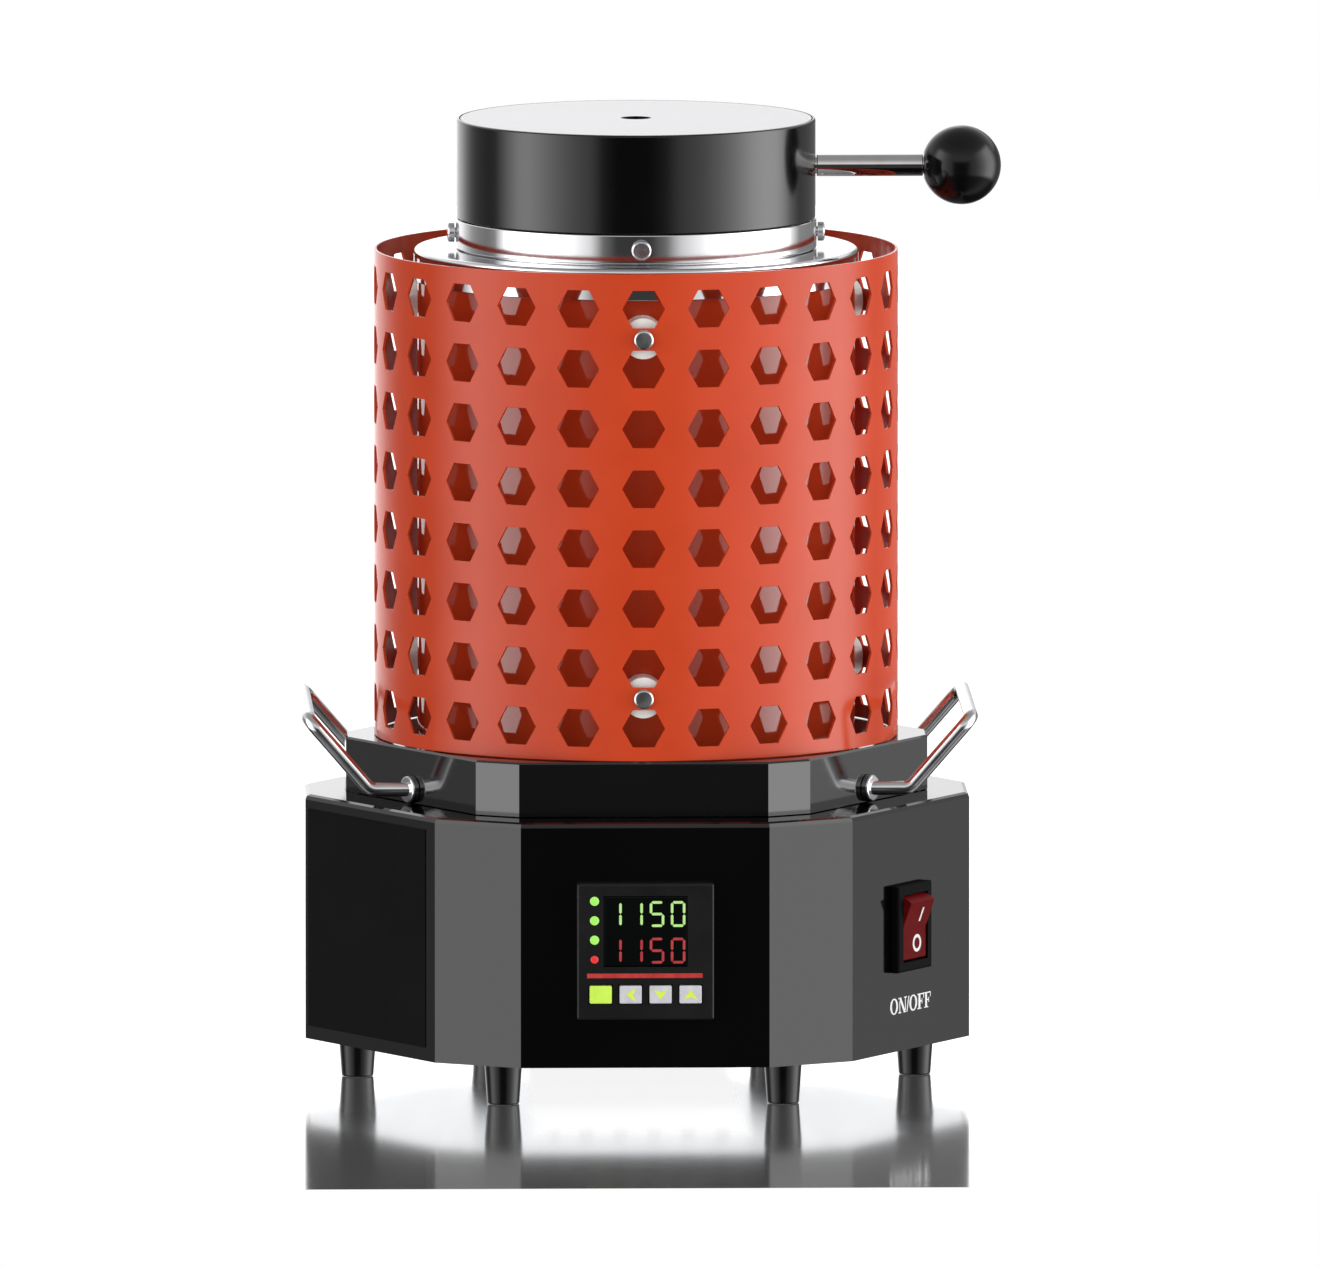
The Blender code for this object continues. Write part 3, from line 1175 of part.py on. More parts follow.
def make_lid(axis, black_paint, satin_steel, fibre, chrome, black_plastic, steel):
    """Lift-off lid: a black wall with an inward lip, a plate let into its top and an insulating plug."""
    edge = LID_EDGE_RADIUS
    corner = math.sqrt(0.5)
    profile = [
        (LID_RADIUS - LID_LIP_WIDTH, LID_BOTTOM),
        (LID_RADIUS, LID_BOTTOM),
        (LID_RADIUS, LID_TOP - edge),
        (LID_RADIUS - edge + edge * corner, LID_TOP - edge + edge * corner),
        (LID_RADIUS - edge, LID_TOP),
        (LID_INSIDE_RADIUS, LID_TOP),
        (LID_INSIDE_RADIUS, LID_BOTTOM + LID_WALL),
        (LID_RADIUS - LID_LIP_WIDTH, LID_BOTTOM + LID_WALL),
    ]
    wall = piece("lid_shell", turned(profile, LARGE_SIDES), black_paint, axis)
    along_x = Matrix.Translation((0, 0, ROD_Z)) @ Matrix.Rotation(math.pi / 2, 4, "Y")
    outer = LID_RADIUS + OVERRUN
    thread_hole = cylinder(ROD_THREAD_RADIUS + GAP, LID_INSIDE_RADIUS - OVERRUN, outer, HOLE_SIDES)
    cut(wall, "cut_lid_wall", moved(thread_hole, along_x))
    fit = LID_INSIDE_RADIUS - GAP
    plate_shape = tube(LID_HOLE_RADIUS, fit, LID_PLATE_BOTTOM, LID_TOP, LARGE_SIDES)
    piece("lid_top_plate", plate_shape, satin_steel, axis)
    insulation_bottom = LID_BOTTOM + LID_WALL + GAP
    plug_bottom = LID_BOTTOM - LID_PLUG_DROP
    profile = [
        (LID_HOLE_RADIUS, plug_bottom),
        (LID_PLUG_RADIUS, plug_bottom),
        (LID_PLUG_RADIUS, insulation_bottom),
        (fit, insulation_bottom),
        (fit, LID_PLATE_BOTTOM - GAP),
        (LID_HOLE_RADIUS, LID_PLATE_BOTTOM - GAP),
    ]
    insulation = piece("lid_insulation", turned(profile, LARGE_SIDES), fibre, axis)
    pocket = cylinder(ROD_NUT_RADIUS + GAP, ROD_INNER_END - GAP, outer, HOLE_SIDES)
    cut(insulation, "cut_lid_pocket", moved(pocket, along_x))

    shoulder = LID_RADIUS + GAP
    knob_flat = KNOB_PLACE - math.sqrt(KNOB_RADIUS**2 - KNOB_FLAT_RADIUS**2)
    bore_end = knob_flat + KNOB_BORE_DEPTH
    profile = [
        (0, ROD_INNER_END),
        (ROD_THREAD_RADIUS, ROD_INNER_END),
        (ROD_THREAD_RADIUS, shoulder),
        (ROD_RADIUS, shoulder),
        (ROD_RADIUS, knob_flat - GAP),
        (ROD_THREAD_RADIUS, knob_flat - GAP),
        (ROD_THREAD_RADIUS, bore_end - GAP),
        (0, bore_end - GAP),
    ]
    piece("lid_rod", turned(profile, ROD_SIDES), chrome, axis, along_x)
    nut_outer = math.sqrt(LID_INSIDE_RADIUS**2 - ROD_NUT_RADIUS**2) - 2 * GAP
    nut_bore = (ROD_THREAD_RADIUS + GAP) / math.cos(math.pi / NUT_SIDES)
    nut_shape = tube(nut_bore, ROD_NUT_RADIUS, nut_outer - ROD_NUT_LENGTH, nut_outer, NUT_SIDES)
    piece("lid_rod_nut", nut_shape, steel, axis, along_x)
    start = math.asin(KNOB_FLAT_RADIUS / KNOB_RADIUS)
    bore = ROD_THREAD_RADIUS + GAP
    profile = [(0, bore_end), (bore, bore_end), (bore, knob_flat)]
    for step in range(KNOB_ARC_STEPS + 1):
        angle = start + (math.pi - start) * step / KNOB_ARC_STEPS
        radius = KNOB_RADIUS * math.sin(angle)
        profile.append((radius if step < KNOB_ARC_STEPS else 0, KNOB_PLACE - KNOB_RADIUS * math.cos(angle)))
    piece("ball_knob", turned(profile, KNOB_SIDES), black_plastic, axis, along_x)


def make_controller(front, black_plastic, smoked, green, silver, steel):
    """Panel controller: a bezel over the housing's cut-out, its case behind, a window and four buttons."""
    bezel_front = -GAP - BEZEL_DEPTH
    inside_front = bezel_front + BEZEL_FRONT
    shape = face_block(BEZEL_SIZE, BEZEL_SIZE, bezel_front, -GAP)
    rounded_edges(shape, BEZEL_EDGE_RADIUS, lambda middle, edge: middle.y < bezel_front + GAP)
    bezel = piece("controller_bezel", shape, black_plastic, front, smooth=False)
    room = BEZEL_SIZE - 2 * BEZEL_RIM
    cut(bezel, "cut_bezel_room", face_block(room, room, inside_front, OVERRUN))
    button_places = [BUTTON_PITCH * (index - 1.5) for index in range(4)]
    ahead = bezel_front - OVERRUN
    behind = inside_front + OVERRUN
    openings = [face_block(WINDOW_WIDTH, WINDOW_HEIGHT, ahead, behind, WINDOW_RISE)]
    for x in button_places:
        opening = face_block(BUTTON_WIDTH + 2 * GAP, BUTTON_HEIGHT + 2 * GAP, ahead, behind, -BUTTON_DROP)
        openings.append(moved(opening, Matrix.Translation((x, 0, 0))))
    cut(bezel, "cut_bezel_openings", joined(openings))
    case_size = CUTOUT_SIZE - 2 * GAP
    case_front = -CASE_SET_BACK
    piece(
        "controller_case",
        face_block(case_size - 2 * GAP, case_size - 2 * GAP, case_front, CASE_DEPTH),
        black_plastic,
        front,
        smooth=False,
    )
    lens = face_block(
        WINDOW_WIDTH - 2 * GAP,
        WINDOW_HEIGHT - 2 * GAP,
        bezel_front + WINDOW_RECESS,
        case_front - GAP,
        WINDOW_RISE,
    )
    piece("controller_window", lens, smoked, front, smooth=False)
    names = ("button_set", "button_left", "button_down", "button_up")
    lip_front = inside_front + GAP
    for name, x in zip(names, button_places):
        cap_front = bezel_front - BUTTON_PROUD
        cap = face_block(BUTTON_WIDTH, BUTTON_HEIGHT, cap_front, lip_front + BUTTON_LIP_THICKNESS / 2)
        place = Matrix.Translation((x, 0, -BUTTON_DROP))
        button = piece(name, cap, green if name == "button_set" else silver, front, place, smooth=False)
        lip_width = BUTTON_WIDTH + 2 * BUTTON_LIP
        lip_tall = BUTTON_HEIGHT + 2 * BUTTON_LIP
        lip = face_block(lip_width, lip_tall, lip_front, lip_front + BUTTON_LIP_THICKNESS)
        add(button, f"{name}_lip", lip, place)
    clip_inside = case_size / 2
    clip_outside = clip_inside + CLIP_WIDTH
    clip = face_block(2 * clip_outside, 2 * clip_outside, SHEET + GAP, SHEET + GAP + CLIP_DEPTH)
    clip = piece("controller_clip", clip, black_plastic, front, smooth=False)
    cut(clip, "cut_clip", face_block(2 * clip_inside, 2 * clip_inside, -OVERRUN, CASE_DEPTH))
    tall = case_size - 2 * TERMINALS_MARGIN
    outline = comb(tall, TERMINALS_DEPTH, BARRIER_DEPTH, BARRIER_COUNT, BARRIER_SHARE)
    profile = [(CASE_DEPTH + GAP + depth, height) for height, depth in outline]
    piece("controller_terminals", side_profile(profile, tall), steel, front, smooth=False)


def make_switch(place, black_plastic, red_plastic):
    """Rocker switch: a case with its tags in the housing's cut-out, and a dished rocker on a cross pin."""
    front = -GAP - SWITCH_PROUD
    shape = face_block(SWITCH_WIDTH, SWITCH_TALL, front, -GAP)
    rounded_edges(shape, SWITCH_EDGE_RADIUS, lambda middle, edge: middle.y < front + GAP)
    case = piece("switch_case", shape, black_plastic, place, smooth=False)
    case_width = SWITCH_WIDTH - 2 * SWITCH_CASE_INSET
    case_tall = SWITCH_TALL - 2 * SWITCH_CASE_INSET
    case_front = -2 * GAP - SWITCH_PROUD / 2
    add(case, "switch_case_body", face_block(case_width, case_tall, case_front, SWITCH_CASE_DEPTH))
    room_width = SWITCH_WIDTH - 2 * SWITCH_RIM
    room_tall = SWITCH_TALL - 2 * SWITCH_RIM
    cut(case, "cut_switch_room", face_block(room_width, room_tall, front - OVERRUN, SWITCH_CAVITY_DEPTH))
    pivot = empty("rocker_pivot", place, Matrix.Translation((0, ROCKER_PIVOT_DEPTH, 0)))
    radius = room_tall / 2 - GAP
    lift = math.radians(ROCKER_LIFT_ANGLE)
    dish = math.tan(math.radians(ROCKER_DISH_ANGLE)) * radius * math.cos(lift)
    back = math.asin(ROCKER_BACK_DEPTH / radius)
    outline = [(-(radius * math.sin(lift) - dish), 0)]
    for side in (1, -1):
        arc = [lift + (-back - lift) * step / BEND_STEPS for step in range(BEND_STEPS + 1)]
        if side < 0:
            arc.reverse()
        outline += [(-radius * math.sin(angle), side * radius * math.cos(angle)) for angle in arc]
    rocker_shape = side_profile(outline, room_width - 2 * GAP)
    tilt = Matrix.Rotation(math.radians(ROCKER_TILT), 4, "X")
    piece("rocker", rocker_shape, red_plastic, pivot, tilt)
    tag_start = SWITCH_CASE_DEPTH - OVERRUN
    tag_end = SWITCH_CASE_DEPTH + TAG_LENGTH
    tags = [
        moved(
            face_block(TAG_WIDTH, TAG_THICKNESS, tag_start, tag_end),
            Matrix.Translation((x, 0, z)),
        )
        for x in (-TAG_WIDTH, TAG_WIDTH)
        for z in (-TAG_WIDTH, TAG_WIDTH)
    ]
    add(case, "switch_tags", joined(tags))


def make_inlet(place, black_plastic):
    """Mains inlet on the back: a flanged case with a keyed socket, in one with its pins and screws."""
    front = -GAP - INLET_FLANGE_THICKNESS
    shape = face_block(INLET_FLANGE_WIDTH, INLET_FLANGE_TALL, front, -GAP)
    rounded_edges(shape, INLET_EDGE_RADIUS, lambda middle, edge: middle.y < front + GAP)
    inlet = piece("power_inlet", shape, black_plastic, place, smooth=False)
    add(
        inlet,
        "inlet_case",
        face_block(INLET_CASE_WIDTH, INLET_CASE_TALL, front + INLET_EDGE_RADIUS * 2, INLET_CASE_DEPTH),
    )
    half_width = INLET_SOCKET_WIDTH / 2
    half_tall = INLET_SOCKET_TALL / 2
    outline = [
        (-half_width, -half_tall),
        (half_width, -half_tall),
        (half_width, half_tall - INLET_SOCKET_CHAMFER),
        (half_width - INLET_SOCKET_CHAMFER, half_tall),
        (-half_width + INLET_SOCKET_CHAMFER, half_tall),
        (-half_width, half_tall - INLET_SOCKET_CHAMFER),
    ]
    toward_back = Matrix(((1, 0, 0, 0), (0, 0, 1, 0), (0, 1, 0, 0), (0, 0, 0, 1)))
    floor = front + INLET_SOCKET_DEPTH
    cut(inlet, "cut_socket", moved(prism(outline, front - OVERRUN, floor), toward_back))
    pin_places = ((-PIN_SPREAD, -PIN_STAGGER), (PIN_SPREAD, -PIN_STAGGER), (0, PIN_STAGGER))
    pins = [
        moved(
            face_block(PIN_WIDTH, PIN_TALL, front + PIN_SET_BACK, INLET_CASE_DEPTH + PIN_TAIL),
            Matrix.Translation((x, 0, z)),
        )
        for x, z in pin_places
    ]
    add(inlet, "inlet_pins", joined(pins))
    facing = Matrix.Rotation(math.pi / 2, 4, "X")
    screws = [
        moved(
            screw(INLET_FLANGE_THICKNESS + SHEET + SCREW_TAIL),
            Matrix.Translation((side * INLET_SCREW_SPREAD, front + GAP, 0)) @ facing,
        )
        for side in (-1, 1)
    ]
    add(inlet, "inlet_screws", joined(screws))


def make_electrics(axis, aluminium, black_plastic, ceramic):
    """Solid-state relay on a finned heat sink, and the mains terminal block."""
    sink_bottom = PLATE_TOP + GAP
    place = Matrix.Translation((HEATSINK_PLACE_X, HEATSINK_SET_BACK, sink_bottom))
    fins = comb(
        HEATSINK_WIDTH, HEATSINK_HEIGHT, HEATSINK_HEIGHT - HEATSINK_BASE, HEATSINK_FINS, HEATSINK_FIN_SHARE
    )
    outline = [(x, HEATSINK_HEIGHT - depth) for x, depth in fins]
    lengthwise = Matrix(((1, 0, 0, 0), (0, 0, 1, 0), (0, 1, 0, 0), (0, 0, 0, 1)))
    shape = moved(prism(outline, -HEATSINK_LENGTH / 2, HEATSINK_LENGTH / 2), lengthwise)
    piece("relay_heatsink", shape, aluminium, axis, place, smooth=False)
    relay_bottom = HEATSINK_HEIGHT + GAP
    relay_top = relay_bottom + RELAY_HEIGHT
    half = RELAY_LENGTH / 2
    inner = half - RELAY_SHOULDER
    outline = [
        (-half, relay_bottom),
        (half, relay_bottom),
        (half, relay_top - RELAY_STEP),
        (inner, relay_top - RELAY_STEP),
        (inner, relay_top),
        (-inner, relay_top),
        (-inner, relay_top - RELAY_STEP),
        (-half, relay_top - RELAY_STEP),
    ]
    piece("relay", side_profile(outline, RELAY_WIDTH), black_plastic, axis, place, smooth=False)
    outline = comb(BLOCK_LENGTH, BLOCK_HEIGHT, BARRIER_DEPTH, BARRIER_COUNT, BARRIER_SHARE)
    shape = side_profile(outline, BLOCK_WIDTH)
    place = Matrix.Translation((BLOCK_PLACE_X, BLOCK_PLACE_Y, PLATE_TOP + GAP))
    piece("terminal_block", shape, ceramic, axis, place, smooth=False)


def main():
    clear_scene()
    black_paint = finish("black_paint", (0.02, 0.02, 0.022), 0.15, 0)
    orange_paint = finish("orange_paint", (0.55, 0.06, 0.02), 0.3, 0)
    polished_steel = finish("polished_steel", (0.8, 0.8, 0.8), 0.08, 1)
    satin_steel = finish("satin_steel", (0.72, 0.72, 0.72), 0.3, 1)
    steel = finish("zinc_plated_steel", (0.6, 0.6, 0.62), 0.35, 1)
    chrome = finish("chrome", (0.85, 0.85, 0.86), 0.05, 1)
    aluminium = finish("aluminium", (0.7, 0.7, 0.72), 0.4, 1)
    black_plastic = finish("black_plastic", (0.015, 0.015, 0.016), 0.2, 0)
    smoked = finish("smoked_window", (0.01, 0.012, 0.012), 0.08, 0)
    green = finish("green_button", (0.12, 0.4, 0.16), 0.4, 0)
    silver = finish("silver_button", (0.55, 0.56, 0.56), 0.35, 0)
    red_plastic = finish("red_rocker", (0.5, 0.01, 0.01), 0.12, 0)
    fibre = finish("ceramic_fibre", (0.85, 0.83, 0.78), 0.95, 0)
    ceramic = finish("ceramic", (0.8, 0.74, 0.64), 0.7, 0)
    graphite = finish("graphite", (0.05, 0.05, 0.052), 0.5, 0)
    resistance_wire = finish("resistance_wire", (0.2, 0.19, 0.18), 0.55, 1)

    axis = empty("furnace_axis", None, Matrix.Translation((AXIS_X, 0, 0)))
    front_place = upright(FRONT, HOUSING_LONG_APOTHEM, CONTROLLER_HEIGHT)
    sideways = Matrix.Translation((SWITCH_OFFSET, 0, 0))
    switch_place = upright(SWITCH_FACE, HOUSING_LONG_APOTHEM, SWITCH_HEIGHT) @ sideways
    back_place = upright(BACK, HOUSING_LONG_APOTHEM, INLET_HEIGHT)
    front = empty("controller_place", axis, front_place)
    switch = empty("switch_place", axis, switch_place)
    back = empty("inlet_place", axis, back_place)

    make_feet(axis, black_plastic)
    make_housing(axis, (front_place, switch_place, back_place), black_paint)
    make_bottom_plate(axis, steel)
    make_plinth(axis, black_paint)
    make_handles(axis, polished_steel)
    make_drum(axis, orange_paint, polished_steel)
    make_shell(axis, orange_paint, polished_steel)
    make_chamber(axis, fibre, ceramic)
    make_coil(axis, resistance_wire, ceramic, steel)
    make_crucible(axis, graphite)
    make_lid(axis, black_paint, satin_steel, fibre, chrome, black_plastic, steel)
    make_controller(front, black_plastic, smoked, green, silver, steel)
    make_switch(switch, black_plastic, red_plastic)
    make_inlet(back, black_plastic)
    make_electrics(axis, aluminium, black_plastic, ceramic)
    bpy.context.view_layer.update()


main()
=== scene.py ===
# Electric gold melting furnace: smooth pieces, finishes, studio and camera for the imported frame.
#
# Shapes are made in millimetres round the furnace's own upright axis and moved into the frame once,
# when a mesh becomes a piece. Face-local places have x to the right, y into the body and z up.

import json
import math

import bmesh
import bpy
from mathutils import Matrix, Vector

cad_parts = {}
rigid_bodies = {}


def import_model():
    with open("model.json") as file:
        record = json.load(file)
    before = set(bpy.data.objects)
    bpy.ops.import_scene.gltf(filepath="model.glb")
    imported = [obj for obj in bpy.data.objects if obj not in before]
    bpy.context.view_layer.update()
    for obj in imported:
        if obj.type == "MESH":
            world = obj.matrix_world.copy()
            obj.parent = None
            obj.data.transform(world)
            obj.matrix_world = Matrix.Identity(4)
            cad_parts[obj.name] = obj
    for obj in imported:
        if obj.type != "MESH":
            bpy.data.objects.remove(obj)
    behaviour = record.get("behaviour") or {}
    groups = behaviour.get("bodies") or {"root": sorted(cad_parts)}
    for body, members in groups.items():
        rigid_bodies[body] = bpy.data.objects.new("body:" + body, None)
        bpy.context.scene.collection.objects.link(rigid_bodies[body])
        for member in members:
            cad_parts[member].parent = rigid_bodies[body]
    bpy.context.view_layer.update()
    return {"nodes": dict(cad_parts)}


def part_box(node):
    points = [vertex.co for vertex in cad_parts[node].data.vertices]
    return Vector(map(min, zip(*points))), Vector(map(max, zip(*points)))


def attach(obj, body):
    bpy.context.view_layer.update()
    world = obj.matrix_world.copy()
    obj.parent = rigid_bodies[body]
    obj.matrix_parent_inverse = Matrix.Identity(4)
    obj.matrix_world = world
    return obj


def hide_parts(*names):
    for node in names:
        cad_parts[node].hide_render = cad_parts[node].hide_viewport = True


MM = 0.001

# Sheet metal, clearances, rounded edges and the overrun of cuts
SHEET = 1.0
GAP = 0.3
EDGE = 0.3
SOFT_EDGE = 0.4
OVERRUN = 5.0

# Drum, flange, collar and shell, as radii round the axis
DRUM_RADIUS = 77.0
DRUM_FLOOR = 1.5
DRUM_SCREW_CIRCLE = 66.0
DRUM_SCREWS = 3
PROBE_HOLE = 4.4
LEAD_HOLE = 3.3
FLANGE_RADIUS = 78.3
FLANGE_BEAD = 1.5
FLANGE_BEND = 0.5
NECK_RADIUS = 62.1
COLLAR_RADIUS = 63.6
COLLAR_WALL = 1.2
SHELL_RADIUS = 92.25
SHELL_COLUMNS = 25
SHELL_ROWS = 8
SHELL_FIRST_ROW = 11.5
SHELL_TOP_MARGIN = 12.4
HOLE_ACROSS_CORNERS = 15.2
HOLE_ACROSS_FLATS = 13.2
HOLE_EDGE = 0.16
HOLE_EDGE_ANGLE = 50
HOLE_EDGE_STEPS = 2
SPACER_RADIUS = 7.25
SPACER_FIRST_ROW = 22.05
SPACER_RISE = 126.6
SPACER_TURNS = 3
SPACER_ROWS = 2
SPACER_EDGE = 0.5
COLLAR_BOLTS = 4

# Fasteners
SCREW_RADIUS = 1.8
HEAD_RADIUS = 3.5
HEAD_HEIGHT = 2.5
HEAD_ROUND = 0.9
NUT_RADIUS = 3.8
NUT_HEIGHT = 3.0

# Lid, rod and knob
LID_RADIUS = 63.2
LID_EDGE = 0.8
LID_INNER_EDGE = 0.15
LID_LIP = 6.0
LID_PLATE = 1.5
LID_PLATE_RADIUS = 61.9
LID_HOLE_RADIUS = 5.0
ROD_RADIUS = 3.9
ROD_THREAD_RADIUS = 3.0
ROD_INNER_END = 50.0
ROD_SHOULDER = 63.5
KNOB_RADIUS = 14.0
KNOB_PLACE = 114.5
KNOB_FLAT_RADIUS = 4.6
KNOB_BORE = 13.0
KNOB_STEPS = 32

# Handles
HANDLE_ROD_RADIUS = 2.5
HANDLE_HALF_SPAN = 48.4
HANDLE_INNER_END = 70.0
HANDLE_STUB_END = 94.9
HANDLE_BAR_PLACE = 116.5
HANDLE_STUB_RISE = 4.8
HANDLE_BAR_RISE = 29.7
HANDLE_BEND = 5.0
HANDLE_BEND_STEPS = 10
HANDLE_FLANGE_RADIUS = 4.8
HANDLE_FLANGE_THICKNESS = 2.4
HANDLE_FLANGE_EDGE = 0.8
HANDLE_NUT_RADIUS = 4.2
HANDLE_NUT_THICKNESS = 3.0

# Housing, plinth and feet
HOUSING_APOTHEM = 109.8
PLINTH_APOTHEM = 93.0
FEET = 6
FOOT_CIRCLE_RADIUS = 98.2
FOOT_BOTTOM_RADIUS = 5.6
FOOT_TOP_RADIUS = 6.7
FOOT_RECESS_RADIUS = 4.1
FOOT_RECESS_DEPTH = 9.0
FOOT_HEIGHT = 15.4
FOOT_EDGE = 0.7
SIDE_ANGLE = 60

# Crucible and heater
CRUCIBLE_TOP_RADIUS = 28.0
CRUCIBLE_FOOT_RADIUS = 22.5
CRUCIBLE_WALL = 6.0
CRUCIBLE_FLOOR = 9.0
CRUCIBLE_FOOT_EDGE = 1.0
CRUCIBLE_RIM_EDGE = 0.8
CRUCIBLE_WELL_ROUND = 3.0
COIL_TURNS = 7
COIL_POINTS = 40
COIL_RADIUS = 36.3
COIL_BOTTOM_MARGIN = 20.0
COIL_TOP_MARGIN = 14.0
WIRE_RADIUS = 1.2
WIRE_SIDES = 12
LEAD_TURN = 9
LEAD_OUTER_RADIUS = 48.3
LEAD_DROP = 8.0
LEAD_BEND = 3.0

# Temperature controller
CONTROLLER_HEIGHT = 56.9
BEZEL_SIZE = 48.0
BEZEL_FRONT = 5.3
BEZEL_EDGE = 0.8
WINDOW_WIDTH = 29.4
WINDOW_HEIGHT = 25.0
WINDOW_RISE = 7.2
WINDOW_RECESS = 0.4
PANE_BACK = 1.2
PANE_EDGE = 0.2
BUTTON_WIDTH = 7.8
BUTTON_HEIGHT = 6.3
BUTTON_PITCH = 10.5
BUTTON_DROP = 15.0
BUTTON_PROUD = 0.9
BUTTON_EDGE = 0.45
DIGIT_PLACES = (-10.9, -3.5, 4.0, 11.4)
DIGIT_HALF_WIDTH = 2.1
DIGIT_HALF_HEIGHT = 4.1
DIGIT_STROKE = 0.9
UPPER_DIGITS = 6.1
LOWER_DIGITS = -6.8
LAMP_PLACE = -17.9
LAMP_RADIUS = 1.6
LAMP_DEPTH = 1.0
LAMP_DOME = 0.25
GREEN_LAMPS = (17.9, 11.05, 4.2)
RED_LAMP = -2.7
RED_LAMP_RADIUS = 1.36
LINE_DROP = 8.4
LINE_ENDS = (-20.5, 20.0)
LINE_HEIGHT = 1.6
PRINT_THICKNESS = 0.05

# Rocker switch and its print
SWITCH_OFFSET = -2.7
SWITCH_HEIGHT = 58.9
SWITCH_TALL = 30.6
SWITCH_RIM = 3.4
SWITCH_WIDTH = 25.0
ROCKER_PIVOT_DEPTH = 0.5
ROCKER_LIFT = 26
ROCKER_DISH = 10
ROCKER_TILT = 10
ROCKER_BACK = 3.0
ROCKER_EDGE = 0.35
ROCKER_EDGE_ANGLE = 35
ROCKER_CREASE = 25
ROCKER_STEPS = 16
MARK_HEIGHT = 5.3
MARK_STROKE = 1.1
MARK_OVAL = 3.1
MARK_SHIFT = 2.0
WORD_HEIGHT = 5.5
WORD_PLACE = 31.5
WORD_SHIFT = -0.5
WORD_LETTERS = (("O", -12.2), ("N", -5.9), ("/", -1.9), ("O", 2.1), ("F", 7.7), ("F", 12.7))
LABEL_WIDTH = 79.0
LABEL_TALL = 77.0
LABEL_HEIGHT = 58.6
LABEL_OFFSET = -2.0
LABEL_THICKNESS = 0.25

# Roundness of turned, bent and bevelled pieces, and the angles from which edges stay sharp
TURNED_SIDES = 160
SMALL_SIDES = 40
BAR_SIDES = 24
OVAL_STEPS = 28
ARC_STEPS = 6
EDGE_STEPS = 3
SOFT_CREASE = 32
SHEET_CREASE = 40

# Patterns of the finishes: the noise's useful range, the plate's brushing and the painted shade on the rim of
# its hole
NOISE_RANGE = (0.3, 0.7)
BRUSH_PITCH = 0.25
HOLE_SHADE_RIM = (0.1, 0.7)

# Studio light by the height of its direction: start, end, and the light at each of them
LOW_LIGHT = (-0.5, -0.36, 0.1, 1.0)
BAND_END = (0.5, 0.7, 1.0, 0.0)
HIGH_LIGHT_RISE = (0.14, 0.34, 0.0, 1.02)
HIGH_LIGHT_FALL = (0.3, 0.95, 1.02, 0.4)
HORIZON = (-0.02, 0.03, 0.0, 1.0)
DIFFUSE_LIGHT = 0.4

# Soft light for matt surfaces, in metres and degrees: two headings and the radiance at each of them
LEFT_FILL = (-10, -90, 1.3, 0.5)
RIGHT_FILL = (10, 110, 0.45, 1.45)
FILL_DISTANCE = 1.6
FILL_LOW = -25
FILL_HIGH = 40
FILL_LEVEL = 0.15
FILL_PANELS = 6

# Floor, in metres: its mirror by the angle of view, and a matt patch under the furnace
FLOOR_HALF = 3.0
FLOOR_FRONT = -0.335
FLOOR_GLOW = 0.86
FLOOR_GREY = 0.2
FLOOR_ROUGHNESS = 0.1
FLOOR_MIRROR = (0.55, 0.89, 0.04, 0.985)
PATCH_MIDDLE = -0.0075
PATCH_SIDE = (0.033, 0.041, 0.0, 1.0)
PATCH_FRONT = (-0.2, -0.15, 1.0, 0.0)
PATCH_BACK = (0.02, 0.08, 0.0, 1.0)

# Camera of the photograph's nearly parallel view: target in millimetres, distance in metres
CAMERA_TARGET = (3.7, 0, 156.4)
CAMERA_DISTANCE = 19.37
CAMERA_AZIMUTH = -1.7
CAMERA_ELEVATION = 6.3
CAMERA_LENS = 1500.0
CAMERA_SENSOR = 36.0
CAMERA_REACH = 100


def fresh_scene():
    """Removes whatever the file starts with."""
    for item in list(bpy.data.objects):
        bpy.data.objects.remove(item)


fresh_scene()
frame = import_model()


def low(node, letter="z"):
    """Lowest coordinate of a CAD node, in millimetres."""
    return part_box(node)[0]["xyz".index(letter)] / MM


def high(node, letter="z"):
    """Highest coordinate of a CAD node, in millimetres."""
    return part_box(node)[1]["xyz".index(letter)] / MM


def middle(node, letter="z"):
    """Coordinate half way between a CAD node's ends, in millimetres."""
    return (low(node, letter) + high(node, letter)) / 2


AXIS_X = middle("lower_housing", "x")
PLINTH_BOTTOM = high("lower_housing") + GAP
HANDLE_LEVEL = PLINTH_BOTTOM + HANDLE_STUB_RISE
DRUM_BOTTOM = high("upper_plinth") + GAP
TO_FRAME = Matrix.Scale(MM, 4) @ Matrix.Translation((AXIS_X, 0, 0))
LAID_FORWARD = Matrix.Rotation(math.radians(90), 4, "X")


# Places and outlines


def heading(degrees):
    """Direction that starts at the front and turns towards the right."""
    turn = math.radians(degrees)
    return Vector((math.sin(turn), -math.cos(turn), 0))


def facing(degrees):
    """Rotation from the front to a heading."""
    return Matrix.Rotation(math.radians(degrees), 4, "Z")


def on_face(degrees, apothem, height):
    """Face-local place on an upright face whose outward direction is the heading."""
    return Matrix.Translation(heading(degrees) * apothem + Vector((0, 0, height))) @ facing(degrees)


def outward(degrees, height):
    """Place that lays an upright turned shape along a heading."""
    return Matrix.Translation((0, 0, height)) @ facing(degrees) @ LAID_FORWARD


def rectangle(left, bottom, right, top):
    """Four corners, in a face's x and z or in a turned profile's radius and height."""
    return [(left, bottom), (right, bottom), (right, top), (left, top)]


